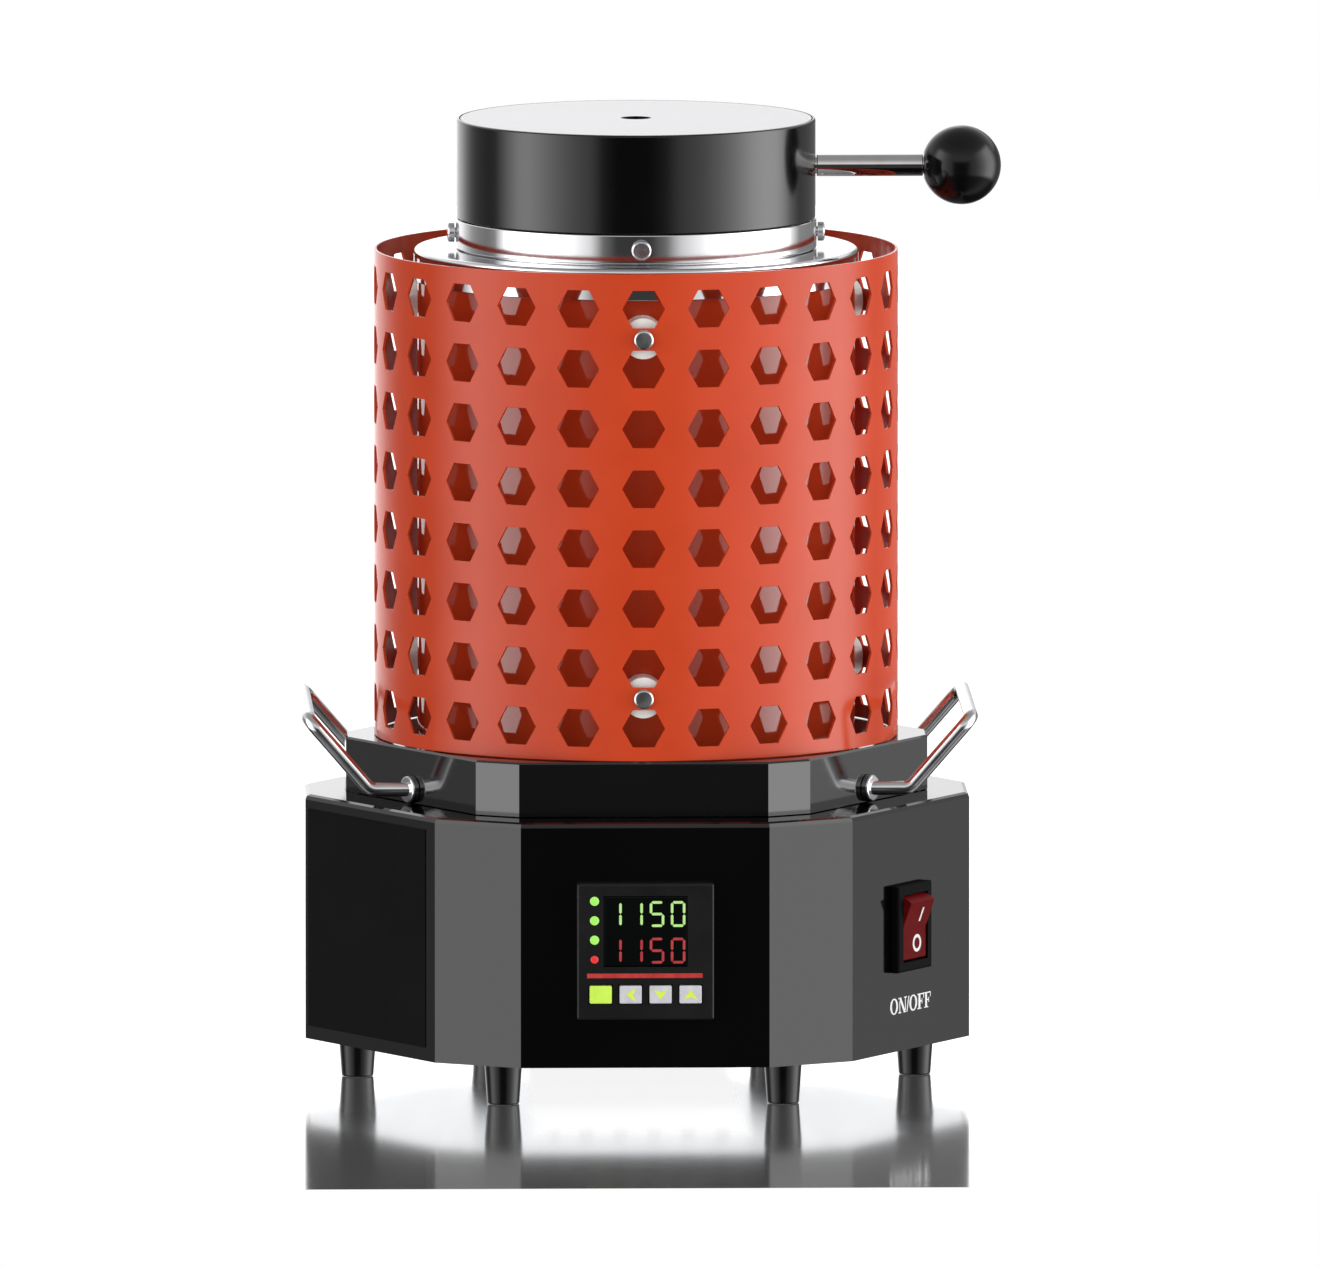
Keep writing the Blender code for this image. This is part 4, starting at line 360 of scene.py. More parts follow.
def rounded(corners, radii, closed=True, steps=ARC_STEPS):
    """The corners as points, those listed in radii turned into arcs of that radius."""
    points = []
    count = len(corners)
    for index, corner in enumerate(corners):
        here = Vector(corner)
        radius = radii.get(index)
        at_end = not closed and index in (0, count - 1)
        if radius is None or at_end:
            points.append(here)
            continue
        before = (Vector(corners[index - 1]) - here).normalized()
        after = (Vector(corners[(index + 1) % count]) - here).normalized()
        half = before.angle(after) / 2
        reach = radius / math.tan(half)
        centre = here + (before + after).normalized() * radius / math.sin(half)
        start = here + before * reach - centre
        end = here + after * reach - centre
        sweep = math.pi - 2 * half
        for step in range(steps + 1):
            part = step / steps
            mixed = start * math.sin((1 - part) * sweep) + end * math.sin(part * sweep)
            points.append(centre + mixed.normalized() * radius)
    return points


# Meshes in millimetres


def to_mesh(shape):
    """Closes a bmesh into a plain mesh."""
    mesh = bpy.data.meshes.new("part")
    shape.to_mesh(mesh)
    shape.free()
    return mesh


def joined(shape, first, second):
    """Faces between two rings of corners; a ring of one corner makes a fan."""
    count = max(len(first), len(second))
    for index in range(count):
        following = (index + 1) % count
        corners = [first[index % len(first)], first[following % len(first)]]
        corners += [second[following % len(second)], second[index % len(second)]]
        shape.faces.new(list(dict.fromkeys(corners)))


def faced_outward(shape):
    """The bmesh with its faces turned outwards."""
    bmesh.ops.recalc_face_normals(shape, faces=shape.faces)
    return shape


def spun(profile, sides=TURNED_SIDES):
    """A closed solid of revolution round the upright axis, from points of radius and height."""
    shape = bmesh.new()
    rings = []
    for radius, height in profile:
        rise = Vector((0, 0, height))
        count = sides if radius else 1
        rings.append([shape.verts.new(heading(360 * side / sides) * radius + rise) for side in range(count)])
    open_profile = len(rings[0]) == 1 and len(rings[-1]) == 1
    for index in range(len(rings) - open_profile):
        joined(shape, rings[index], rings[(index + 1) % len(rings)])
    return faced_outward(shape)


def turned(corners, radii, sides=TURNED_SIDES):
    """A turned solid whose profile has rounded corners."""
    return spun(rounded(corners, radii), sides)


def prism(near, far):
    """A solid between two outlines of as many points."""
    shape = bmesh.new()
    ends = [[shape.verts.new(point) for point in outline] for outline in (near, far)]
    for end in ends:
        shape.faces.new(end)
    joined(shape, *ends)
    return faced_outward(shape)


def printed(outline, depth=0):
    """A face-local print of an outline of x and z, as thin as ink, at a depth."""
    sides = (depth - PRINT_THICKNESS, depth + PRINT_THICKNESS)
    return prism(*([(x, side, z) for x, z in outline] for side in sides))


def solid_block(width, tall, front, back, edge=0, rise=0):
    """A face-local block, its edges rounded where an edge radius is given."""
    shape = bmesh.new()
    bmesh.ops.create_cube(shape, size=1)
    centre = Matrix.Translation((0, (front + back) / 2, rise))
    put(shape, centre @ Matrix.Diagonal((width, back - front, tall, 1)))
    if edge:
        bmesh.ops.bevel(
            shape, geom=shape.edges[:], offset=edge, segments=EDGE_STEPS, profile=0.5, affect="EDGES"
        )
    return shape


def put(shape, place):
    """Moves a bmesh to its place."""
    bmesh.ops.transform(shape, matrix=place, verts=shape.verts)
    return shape


def together(shapes):
    """Several bmeshes as one."""
    whole = bmesh.new()
    for shape in shapes:
        part = to_mesh(shape)
        whole.from_mesh(part)
        bpy.data.meshes.remove(part)
    return whole


def placed(name, data):
    """A new object of the scene."""
    item = bpy.data.objects.new(name, data)
    bpy.context.scene.collection.objects.link(item)
    return item


def plain(holder):
    """The mesh that an object has after its modifiers; the object itself goes."""
    made = bpy.data.meshes.new_from_object(holder.evaluated_get(bpy.context.evaluated_depsgraph_get()))
    holder.modifiers.clear()
    bpy.data.objects.remove(holder)
    return made


def evaluated(mesh, steps):
    """A plain mesh of the given one after modifiers, each a kind and its settings."""
    holder = placed("holder", mesh)
    for kind, settings in steps.items():
        modifier = holder.modifiers.new(kind, kind)
        for name, value in settings.items():
            setattr(modifier, name, value)
    return plain(holder)


def grown(mesh, tree, values):
    """A plain mesh of the given one after a Geometry Nodes tree, its inputs set by their identifiers."""
    holder = placed("holder", mesh)
    modifier = holder.modifiers.new(tree.name, "NODES")
    modifier.node_group = tree
    for item in tree.interface.items_tree:
        if item.item_type == "SOCKET" and item.name in values:
            modifier[item.identifier] = values[item.name]
    return plain(holder)


def edge_bevel(width, segments, degrees):
    """Settings of a bevel on the edges that are sharper than an angle."""
    limit = math.radians(degrees)
    return {"width": width, "segments": segments, "limit_method": "ANGLE", "angle_limit": limit}


def cut_out(mesh, cutter):
    """The mesh less the cutter's bmesh."""
    tool = placed("cutter", to_mesh(cutter))
    made = evaluated(mesh, {"BOOLEAN": {"operation": "DIFFERENCE", "solver": "EXACT", "object": tool}})
    bpy.data.objects.remove(tool)
    return made


def drilled(mesh, radius, start, end, place):
    """The mesh less a round hole along the place's own upright axis."""
    drill = spun(rectangle(0, start - OVERRUN, radius, end + OVERRUN), SMALL_SIDES)
    return cut_out(mesh, put(drill, place))


def bolt(start, seat, height):
    """A bolt that points to the front, from its inner end to the round head on its seat."""
    end = seat + HEAD_HEIGHT
    corners = [(0, start), (SCREW_RADIUS, start), (SCREW_RADIUS, seat)]
    corners += [(HEAD_RADIUS, seat), (HEAD_RADIUS, end), (0, end)]
    return put(turned(corners, {3: EDGE, 4: HEAD_ROUND}, SMALL_SIDES), outward(0, height))


def piece(name, mesh, finish, nodes=(), body="root", crease=SOFT_CREASE):
    """Moves a mesh into the frame as a finished piece that rides on a body and stands for CAD nodes."""
    if isinstance(mesh, bmesh.types.BMesh):
        mesh = to_mesh(mesh)
    mesh.transform(TO_FRAME)
    mesh.materials.clear()
    mesh.materials.append(finish)
    mesh.shade_smooth()
    mesh.set_sharp_from_angle(angle=math.radians(crease))
    mesh = evaluated(mesh, {"WEIGHTED_NORMAL": {"keep_sharp": True, "weight": 50}})
    mesh.name = name
    item = placed(name, mesh)
    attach(item, body)
    if nodes:
        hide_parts(*nodes)


# Nodes of materials and of Geometry Nodes trees


def node(tree, kind, inputs=None, **settings):
    """Adds one node; each input takes a value or another node's output socket."""
    made = tree.nodes.new(kind)
    for name, value in settings.items():
        setattr(made, name, value)
    for name, value in (inputs or {}).items():
        if isinstance(value, bpy.types.NodeSocket):
            tree.links.new(value, made.inputs[name])
        else:
            made.inputs[name].default_value = value
    return made


def empty_tree(owner):
    """The node tree of a material or a world, emptied."""
    owner.use_nodes = True
    owner.node_tree.nodes.clear()
    return owner.node_tree


def calculated(tree, operation, first, second=0.0):
    """One Math node."""
    return node(tree, "ShaderNodeMath", {0: first, 1: second}, operation=operation).outputs[0]


def mapped(tree, value, ends, kind="LINEAR"):
    """A value carried from between the first two ends to between the last two."""
    inputs = dict(zip(("From Min", "From Max", "To Min", "To Max"), ends), Value=value)
    return node(tree, "ShaderNodeMapRange", inputs, interpolation_type=kind).outputs["Result"]


def linear(code):
    """Scene-linear colour of an sRGB hex code."""
    parts = [int(code[start : start + 2], 16) / 255 for start in (1, 3, 5)]
    return [part / 12.92 if part <= 0.04045 else ((part + 0.055) / 1.055) ** 2.4 for part in parts] + [1.0]


CONSTANT_SOCKETS = {
    "specular": "Specular IOR Level",
    "metallic": "Metallic",
    "emission": "Emission Strength",
}


def finish_named(name, **constants):
    """A material with one shader, whose constant values sit on the shader's own sockets."""
    material = bpy.data.materials.new(name)
    tree = empty_tree(material)
    shader = node(tree, "ShaderNodeBsdfPrincipled")
    for constant, value in constants.items():
        shader.inputs[CONSTANT_SOCKETS[constant]].default_value = value
    node(tree, "ShaderNodeOutputMaterial", {"Surface": shader.outputs[0]})
    return material, tree, shader


def wired(tree, shader, links):
    """Leads output sockets to the shader's inputs."""
    for name, socket in links.items():
        tree.links.new(socket, shader.inputs[name])


def mottle(tree, size, stretch=(1, 1, 1), detail=3.0):
    """Noise on the object's own coordinates with blotches of a size in millimetres, longer along stretch."""
    place = node(tree, "ShaderNodeTexCoord").outputs["Object"]
    scale = [1 / (size * MM * longer) for longer in stretch]
    spread = node(tree, "ShaderNodeMapping", {"Vector": place, "Scale": scale})
    inputs = {"Vector": spread.outputs[0], "Scale": 1.0, "Detail": detail}
    return node(tree, "ShaderNodeTexNoise", inputs).outputs["Fac"]


def ranged(tree, value, start, end):
    """A noise value spread between two ends."""
    return mapped(tree, value, (*NOISE_RANGE, start, end))


def mixed_colour(tree, share, first, second):
    """A colour between two; each is a value or an output socket."""
    return node(tree, "ShaderNodeMix", {0: share, 6: first, 7: second}, data_type="RGBA").outputs[2]


def blended(tree, value, first, second):
    """A noisy colour between two hex codes."""
    return mixed_colour(tree, ranged(tree, value, 0.0, 1.0), linear(first), linear(second))


def raised(tree, value, depth):
    """Bump of a depth in millimetres."""
    inputs = {"Height": value, "Distance": depth * MM, "Strength": 1.0}
    return node(tree, "ShaderNodeBump", inputs).outputs["Normal"]


def dressed(name, colours, blotch, roughness, grain, depth, stretch=(1, 1, 1), **constants):
    """A finish with mottled colour and roughness and a fine grain in its bump, all sizes in millimetres."""
    material, tree, shader = finish_named(name, **constants)
    broad = mottle(tree, blotch, stretch)
    fine = mottle(tree, grain, stretch, 4.0)
    links = {
        "Base Color": blended(tree, broad, *colours),
        "Roughness": ranged(tree, broad, *roughness),
        "Normal": raised(tree, fine, depth),
    }
    wired(tree, shader, links)
    return material


def glowing(name, colours, cover):
    """A lamp or a lit segment behind a moulded cover, dark where it isn't lit."""
    material, tree, shader = finish_named(name, emission=1.0)
    spots = mottle(tree, 1.5)
    links = {
        "Base Color": blended(tree, spots, cover, "#101010"),
        "Emission Color": blended(tree, spots, *colours),
        "Roughness": ranged(tree, spots, 0.25, 0.4),
    }
    wired(tree, shader, links)
    return material


def powder_coat():
    """Orange powder coat over rolled sheet: a fine orange peel and a slight variation of the pigment."""
    material, tree, shader = finish_named("orange_powder_coat", specular=0.22)
    peel = mottle(tree, 1.3, detail=2.0)
    grit = mottle(tree, 0.35, detail=2.0)
    links = {
        "Base Color": blended(tree, mottle(tree, 30), "#C04020", "#C84525"),
        "Roughness": ranged(tree, peel, 0.13, 0.18),
        "Normal": raised(tree, calculated(tree, "ADD", peel, grit), 0.0014),
    }
    wired(tree, shader, links)
    return material


def brushed_round():
    """Steel plate with a fine circular brushing about the furnace's axis, painted dark at the centre hole's
    rim as shade of the deep hole.
    """
    material, tree, shader = finish_named("circle_brushed_steel", metallic=1.0)
    place = node(tree, "ShaderNodeTexCoord").outputs["Object"]
    centred = node(tree, "ShaderNodeMapping", {"Vector": place, "Location": (-AXIS_X * MM, 0, 0)}).outputs[0]
    flat = node(tree, "ShaderNodeVectorMath", {0: centred, 1: (1, 1, 0)}, operation="MULTIPLY").outputs[0]
    radius = node(tree, "ShaderNodeVectorMath", {0: flat}, operation="LENGTH").outputs["Value"]
    inputs = {"W": radius, "Scale": 1 / (BRUSH_PITCH * MM), "Detail": 3.0}
    rings = node(tree, "ShaderNodeTexNoise", inputs, noise_dimensions="1D").outputs["Fac"]
    # Painted shade: a dark ring on the plate round the centre hole stands in for the shade of the deep hole
    rim = [(LID_HOLE_RADIUS + reach) * MM for reach in HOLE_SHADE_RIM]
    unshaded = mapped(tree, radius, (*rim, 0.0, 1.0))
    brushed = blended(tree, rings, "#CBCBCD", "#D8D8DA")
    links = {
        "Base Color": mixed_colour(tree, unshaded, linear("#141210"), brushed),
        "Roughness": ranged(tree, rings, 0.3, 0.5),
        "Normal": raised(tree, rings, 0.01),
    }
    wired(tree, shader, links)
    return material


# Each finish has its name, its two colours, the size of its blotches, the ends of its roughness, the
# size of its grain, the depth of the grain's bump and, where it has a direction, its stretch.

# Black stoved enamel over folded sheet, glossy with a faint peel
HOUSING_ENAMEL = dressed(
    "black_stoved_enamel", ("#010101", "#020203"), 60, (0.07, 0.11), 2.2, 0.002, specular=0.5
)
# The same enamel on the plinth, a little harder and glossier
PLINTH_ENAMEL = dressed(
    "glossy_plinth_enamel", ("#060606", "#09090A"), 60, (0.07, 0.11), 2.2, 0.002, specular=0.9
)
# The same enamel, rubbed to a satin on the lid's wall
LID_ENAMEL = dressed("satin_black_lid_enamel", ("#020202", "#040405"), 40, (0.12, 0.17), 1.6, 0.002)
POWDER_COAT = powder_coat()
# The same orange on the drum behind the shell, smoother and glossier
DRUM_PAINT = dressed("glossy_orange_drum_paint", ("#BC3C1E", "#C44323"), 30, (0.05, 0.08), 1.3, 0.001)
# Rolled stainless flange and collar with a finer polish
FLANGE_STEEL = dressed(
    "polished_flange_steel", ("#D6D6D8", "#E2E2E4"), 30, (0.08, 0.12), 0.7, 0.002, (8, 8, 1), metallic=1.0
)
# Polished round rod of the handles
HANDLE_STEEL = dressed(
    "polished_handle_rod", ("#C6C6C9", "#D8D8DA"), 12, (0.14, 0.2), 0.5, 0.004, metallic=1.0
)
# Turned heads of the bolts
BOLT_STEEL = dressed("turned_bolt_steel", ("#BEBEC1", "#D2D2D4"), 4, (0.22, 0.3), 0.4, 0.004, metallic=1.0)
LID_STEEL = brushed_round()
# Hard chrome on the lid's side rod
CHROME = dressed("chromed_rod", ("#C4C0C0", "#D0CDCD"), 10, (0.05, 0.09), 0.8, 0.002, metallic=1.0)
# Bright zinc plate on hidden screws, brackets and the bottom plate
ZINC = dressed("bright_zinc_plate", ("#CFD2D6", "#DDE0E3"), 6, (0.26, 0.36), 0.8, 0.01, metallic=1.0)
# Extruded aluminium of the heatsink
ALUMINIUM = dressed(
    "extruded_aluminium", ("#B4B5B8", "#C9CACC"), 8, (0.3, 0.42), 0.6, 0.02, (1, 12, 1), metallic=1.0
)
# Moulded phenolic of the knob, polished
PHENOLIC = dressed("polished_phenolic", ("#070708", "#0B0B0C"), 9, (0.12, 0.18), 1.5, 0.004, specular=0.27)
# Moulded black plastic of cases and clips, finely textured
BLACK_PLASTIC = dressed(
    "textured_black_plastic", ("#0A0A0A", "#0E0E0F"), 7, (0.45, 0.55), 0.4, 0.02, specular=0.02
)
# Smoother charcoal front of the controller
BEZEL_PLASTIC = dressed(
    "charcoal_bezel_plastic", ("#131313", "#171718"), 12, (0.3, 0.36), 0.35, 0.006, specular=0.2
)
# Hard moulded black plastic of the feet, polished
FOOT_PLASTIC = dressed(
    "polished_black_feet", ("#060607", "#0B0B0C"), 5, (0.14, 0.2), 1.2, 0.003, specular=0.25
)
# Smoked acrylic pane over the dark display
SMOKED_ACRYLIC = dressed("smoked_acrylic_pane", ("#020303", "#040505"), 20, (0.06, 0.1), 5.0, 0.002)
# Soft key moulded in lime green
GREEN_KEY = dressed("lime_key_rubber", ("#C0EA4A", "#CEF458"), 4, (0.4, 0.5), 0.3, 0.01)
# Soft keys painted silver grey
SILVER_KEY = dressed("silver_key_paint", ("#BEBEC4", "#CECED4"), 4, (0.35, 0.45), 0.25, 0.01)
# Yellow-green print on the keys
KEY_PRINT = dressed("yellow_green_key_print", ("#D2E83A", "#DDF04C"), 2, (0.45, 0.55), 0.2, 0.004)
# Translucent red polycarbonate of the rocker
RED_ROCKER = dressed("red_polycarbonate", ("#54090B", "#600F11"), 6, (0.28, 0.36), 0.9, 0.006, specular=0.03)
# White pad print on the rocker and the housing
WHITE_PRINT = dressed("white_pad_print", ("#DCDCDC", "#F0F0F0"), 3, (0.5, 0.6), 0.2, 0.01)
# Red line printed on the controller
RED_PRINT = dressed("red_pad_print", ("#A8201C", "#C0302A"), 3, (0.45, 0.55), 0.2, 0.004)
# Plain black label plate, printed solid
LABEL_FILM = dressed("black_label_film", ("#090909", "#0C0C0C"), 25, (0.34, 0.42), 0.8, 0.004, specular=0.03)
# Pressed ceramic fibre of the insulation
FIBRE = dressed("ceramic_fibre", ("#E4E0D6", "#F3F0E8"), 8, (0.85, 0.95), 0.7, 0.25, (2, 2, 1))
# Fired ceramic of the chamber, the mouth and the bushings
CERAMIC = dressed("fired_ceramic", ("#CFC8BA", "#E0DACD"), 12, (0.55, 0.7), 0.6, 0.05)
# White glazed ceramic of the spacers that hold the shell off the drum
GLAZED_CERAMIC = dressed("white_glazed_ceramic", ("#E6E4DF", "#F4F2EE"), 6, (0.2, 0.3), 0.9, 0.01)
# Machined graphite of the crucible
GRAPHITE = dressed(
    "machined_graphite", ("#2A2B2D", "#38393B"), 10, (0.4, 0.55), 0.5, 0.03, (3, 3, 1), metallic=0.25
)
# Oxidised resistance wire of the heating coil
HEATER_WIRE = dressed("oxidised_heater_wire", ("#4A423C", "#6A5D52"), 3, (0.45, 0.6), 0.4, 0.03, metallic=0.8)
GREEN_LIGHT = glowing("green_lamp", ("#A2F064", "#AEF870"), "#16260C")
RED_LIGHT = glowing("red_lamp", ("#DE2C2A", "#EE3A34"), "#2A0808")
GREEN_SEGMENT = glowing("green_lit_segment", ("#B2E486", "#C0EE96"), "#101808")
RED_SEGMENT = glowing("red_lit_segment", ("#A83438", "#B83E42"), "#180606")


# Geometry Nodes trees


def tree_named(name, sockets):
    """A Geometry Nodes tree with named inputs, each a kind and a starting value."""
    tree = bpy.data.node_groups.new(name, "GeometryNodeTree")
    tree.interface.new_socket("Geometry", in_out="INPUT", socket_type="NodeSocketGeometry")
    for label, (kind, value) in sockets.items():
        socket = tree.interface.new_socket(label, in_out="INPUT", socket_type=f"NodeSocket{kind}")
        if value is not None:
            socket.default_value = value
    tree.interface.new_socket("Geometry", in_out="OUTPUT", socket_type="NodeSocketGeometry")
    return tree, node(tree, "NodeGroupInput").outputs


def geometry(tree, kind, **inputs):
    """First output of a Geometry Nodes node, an underscore standing for a space in an input's name."""
    named = {name.replace("_", " "): value for name, value in inputs.items()}
    return node(tree, f"GeometryNode{kind}", named).outputs[0]


def vector(tree, **parts):
    """A vector of its X, Y and Z."""
    return node(tree, "ShaderNodeCombineXYZ", parts).outputs[0]


def ended(tree, made, finish):
    """The tree, ended with real geometry in one material."""
    real = geometry(tree, "RealizeInstances", Geometry=made)
    painted = geometry(tree, "SetMaterial", Geometry=real, Material=finish)
    node(tree, "NodeGroupOutput", {"Geometry": painted})
    return tree


def perforated_sheet_tree():
    """Rolls copies of one flat column of holes into a closed round sheet."""
    sockets = {
        "Columns": ("Int", SHELL_COLUMNS),
        "Radius": ("Float", SHELL_RADIUS),
        "Weld": ("Float", EDGE / 10),
        "Finish": ("Material", None),
    }
    tree, given = tree_named("perforated_sheet", sockets)
    girth = calculated(tree, "MULTIPLY", given["Radius"], math.tau)
    pitch = calculated(tree, "DIVIDE", girth, given["Columns"])
    row = geometry(tree, "MeshLine", Count=given["Columns"], Offset=vector(tree, X=pitch))
    copies = geometry(tree, "InstanceOnPoints", Points=row, Instance=given["Geometry"])
    flat = geometry(tree, "RealizeInstances", Geometry=copies)
    place = node(tree, "ShaderNodeSeparateXYZ", {0: geometry(tree, "InputPosition")}).outputs
    angle = calculated(tree, "DIVIDE", place["X"], given["Radius"])
    across = calculated(tree, "MULTIPLY", calculated(tree, "SINE", angle), given["Radius"])
    along = calculated(tree, "MULTIPLY", calculated(tree, "COSINE", angle), given["Radius"])
    towards_front = calculated(tree, "MULTIPLY", along, -1.0)
    rolled = vector(tree, X=across, Y=towards_front, Z=place["Z"])
    bent = geometry(tree, "SetPosition", Geometry=flat, Position=rolled)
    welded = geometry(tree, "MergeByDistance", Geometry=bent, Distance=given["Weld"])
    return ended(tree, welded, given["Finish"])


def ring_tree():
    """Repeats one part round the upright axis, in rows one above the other."""
    sockets = {
        "Count": ("Int", 1),
        "First angle": ("Float", 0.0),
        "Rows": ("Int", 1),
        "Rise": ("Float", 0.0),
        "Finish": ("Material", None),
    }
    tree, given = tree_named("ring_of_parts", sockets)
    spots = geometry(tree, "MeshLine", Count=given["Count"], Offset=(0, 0, 0))
    share = calculated(tree, "DIVIDE", geometry(tree, "InputIndex"), given["Count"])
    swing = calculated(tree, "MULTIPLY", share, math.tau)
    turn = vector(tree, Z=calculated(tree, "ADD", swing, given["First angle"]))
    ring = geometry(tree, "InstanceOnPoints", Points=spots, Instance=given["Geometry"], Rotation=turn)
    levels = geometry(tree, "MeshLine", Count=given["Rows"], Offset=vector(tree, Z=given["Rise"]))
    rows = geometry(tree, "InstanceOnPoints", Points=levels, Instance=ring)
    return ended(tree, rows, given["Finish"])


def bar_tree():
    """Sweeps a round section along a path drawn with edges."""
    sockets = {"Radius": ("Float", 1.0), "Sides": ("Int", BAR_SIDES), "Finish": ("Material", None)}
    tree, given = tree_named("bar_along_path", sockets)
    path = geometry(tree, "MeshToCurve", Mesh=given["Geometry"])
    section = geometry(tree, "CurvePrimitiveCircle", Resolution=given["Sides"], Radius=given["Radius"])
    bar = geometry(tree, "CurveToMesh", Curve=path, Profile_Curve=section, Fill_Caps=True)
    return ended(tree, bar, given["Finish"])


RING = ring_tree()
BAR = bar_tree()


def ringed(shape, finish, count, first=0.0, rows=1, rise=0.0):
    """One part's bmesh repeated round the axis."""
    values = {"Count": count, "First angle": math.radians(first), "Rows": rows, "Rise": rise}
    return grown(to_mesh(shape), RING, {**values, "Finish": finish})


def swept(points, radius, finish, sides=BAR_SIDES):
    """A closed round bar along a path of points."""
    line = bpy.data.meshes.new("path")
    line.from_pydata(points, [(index, index + 1) for index in range(len(points) - 1)], [])
    shape = bmesh.new()
    shape.from_mesh(grown(line, BAR, {"Radius": radius, "Sides": sides, "Finish": finish}))
    bmesh.ops.remove_doubles(shape, verts=shape.verts, dist=EDGE / 100)
    return faced_outward(shape)


# Perforated shell


def column_of_holes():
    """One flat column of the shell's sheet round its six-sided holes, centred on x = 0."""
    half_pitch = math.pi * SHELL_RADIUS / SHELL_COLUMNS
    half_corners = HOLE_ACROSS_CORNERS / 2
    bottom = low("perforated_shell")
    top = high("perforated_shell")
    first = bottom + SHELL_FIRST_ROW
    row_pitch = (top - first - SHELL_TOP_MARGIN) / (SHELL_ROWS - 1)
    right = [half_corners * share for share in (0, 0.25, 0.5, 0.75, 1)]
    right += [(half_corners + half_pitch) / 2, half_pitch]
    stations = [-x for x in reversed(right[1:])] + right
    shape = bmesh.new()

    def opening(x):
        """Half the height of a hole at a distance from its middle."""
        slope = (half_corners - abs(x)) / (half_corners / 2)
        return HOLE_ACROSS_FLATS / 2 * min(max(slope, 0), 1)

    def add_face(start, end, low_start, low_end, high_start, high_end):
        corners = [(start, low_start), (end, low_end), (end, high_end), (start, high_start)]
        shape.faces.new([shape.verts.new((x, 0, z)) for x, z in corners])

    for start, end in zip(stations, stations[1:]):
        level = bottom
        for row in range(SHELL_ROWS):
            centre = first + row * row_pitch
            add_face(start, end, level, level, centre - opening(start), centre - opening(end))
            level = centre + row_pitch / 2 if row < SHELL_ROWS - 1 else top
            add_face(start, end, centre + opening(start), centre + opening(end), level, level)
    bmesh.ops.remove_doubles(shape, verts=shape.verts, dist=EDGE / 10)
    return shape


def spacer_places():
    """Places of the shell's bolts round the drum, in two rows."""
    first = low("perforated_shell") + SPACER_FIRST_ROW
    turns = [360 * turn / SPACER_TURNS for turn in range(SPACER_TURNS)]
    return [outward(degrees, first + row * SPACER_RISE) for degrees in turns for row in range(SPACER_ROWS)]


def make_shell():
    """Rolled, perforated and powder-coated sheet with punched edges slightly rounded, and its spacers."""
    column = to_mesh(column_of_holes())
    values = {"Columns": SHELL_COLUMNS, "Radius": SHELL_RADIUS, "Finish": POWDER_COAT}
    sheet = grown(column, perforated_sheet_tree(), values)
    thicken = {"thickness": SHEET, "offset": -1}
    bevel = edge_bevel(HOLE_EDGE, HOLE_EDGE_STEPS, HOLE_EDGE_ANGLE)
    sheet = evaluated(sheet, {"SOLIDIFY": thicken, "BEVEL": bevel})
    for place in spacer_places():
        sheet = drilled(sheet, SCREW_RADIUS + GAP, SHELL_RADIUS - SHEET, SHELL_RADIUS, place)
    nodes = ["perforated_shell"]
    piece("perforated_shell_sheet", sheet, POWDER_COAT, nodes, crease=SHEET_CREASE)

    flat_inside = (SHELL_RADIUS - SHEET) * math.cos(math.pi / SHELL_COLUMNS)
    reach = math.sqrt(flat_inside**2 - SPACER_RADIUS**2) - GAP
    height = low("perforated_shell") + SPACER_FIRST_ROW
    corners = rectangle(SCREW_RADIUS + GAP / 3, DRUM_RADIUS + GAP, SPACER_RADIUS, reach)
    sleeve = put(turned(corners, {1: SPACER_EDGE, 2: SPACER_EDGE}, SMALL_SIDES), outward(0, height))
    sleeves = ringed(sleeve, GLAZED_CERAMIC, SPACER_TURNS, rows=SPACER_ROWS, rise=SPACER_RISE)
    piece("shell_spacer_sleeves", sleeves, GLAZED_CERAMIC)
    screw = bolt(DRUM_RADIUS - SHEET, SHELL_RADIUS + GAP, height)
    screws = ringed(screw, BOLT_STEEL, SPACER_TURNS, rows=SPACER_ROWS, rise=SPACER_RISE)
    names = [f"shell_spacer_{index + 1}" for index in range(SPACER_TURNS * SPACER_ROWS)]
    piece("shell_bolts", screws, BOLT_STEEL, names)


# Drum, lid, handles and feet


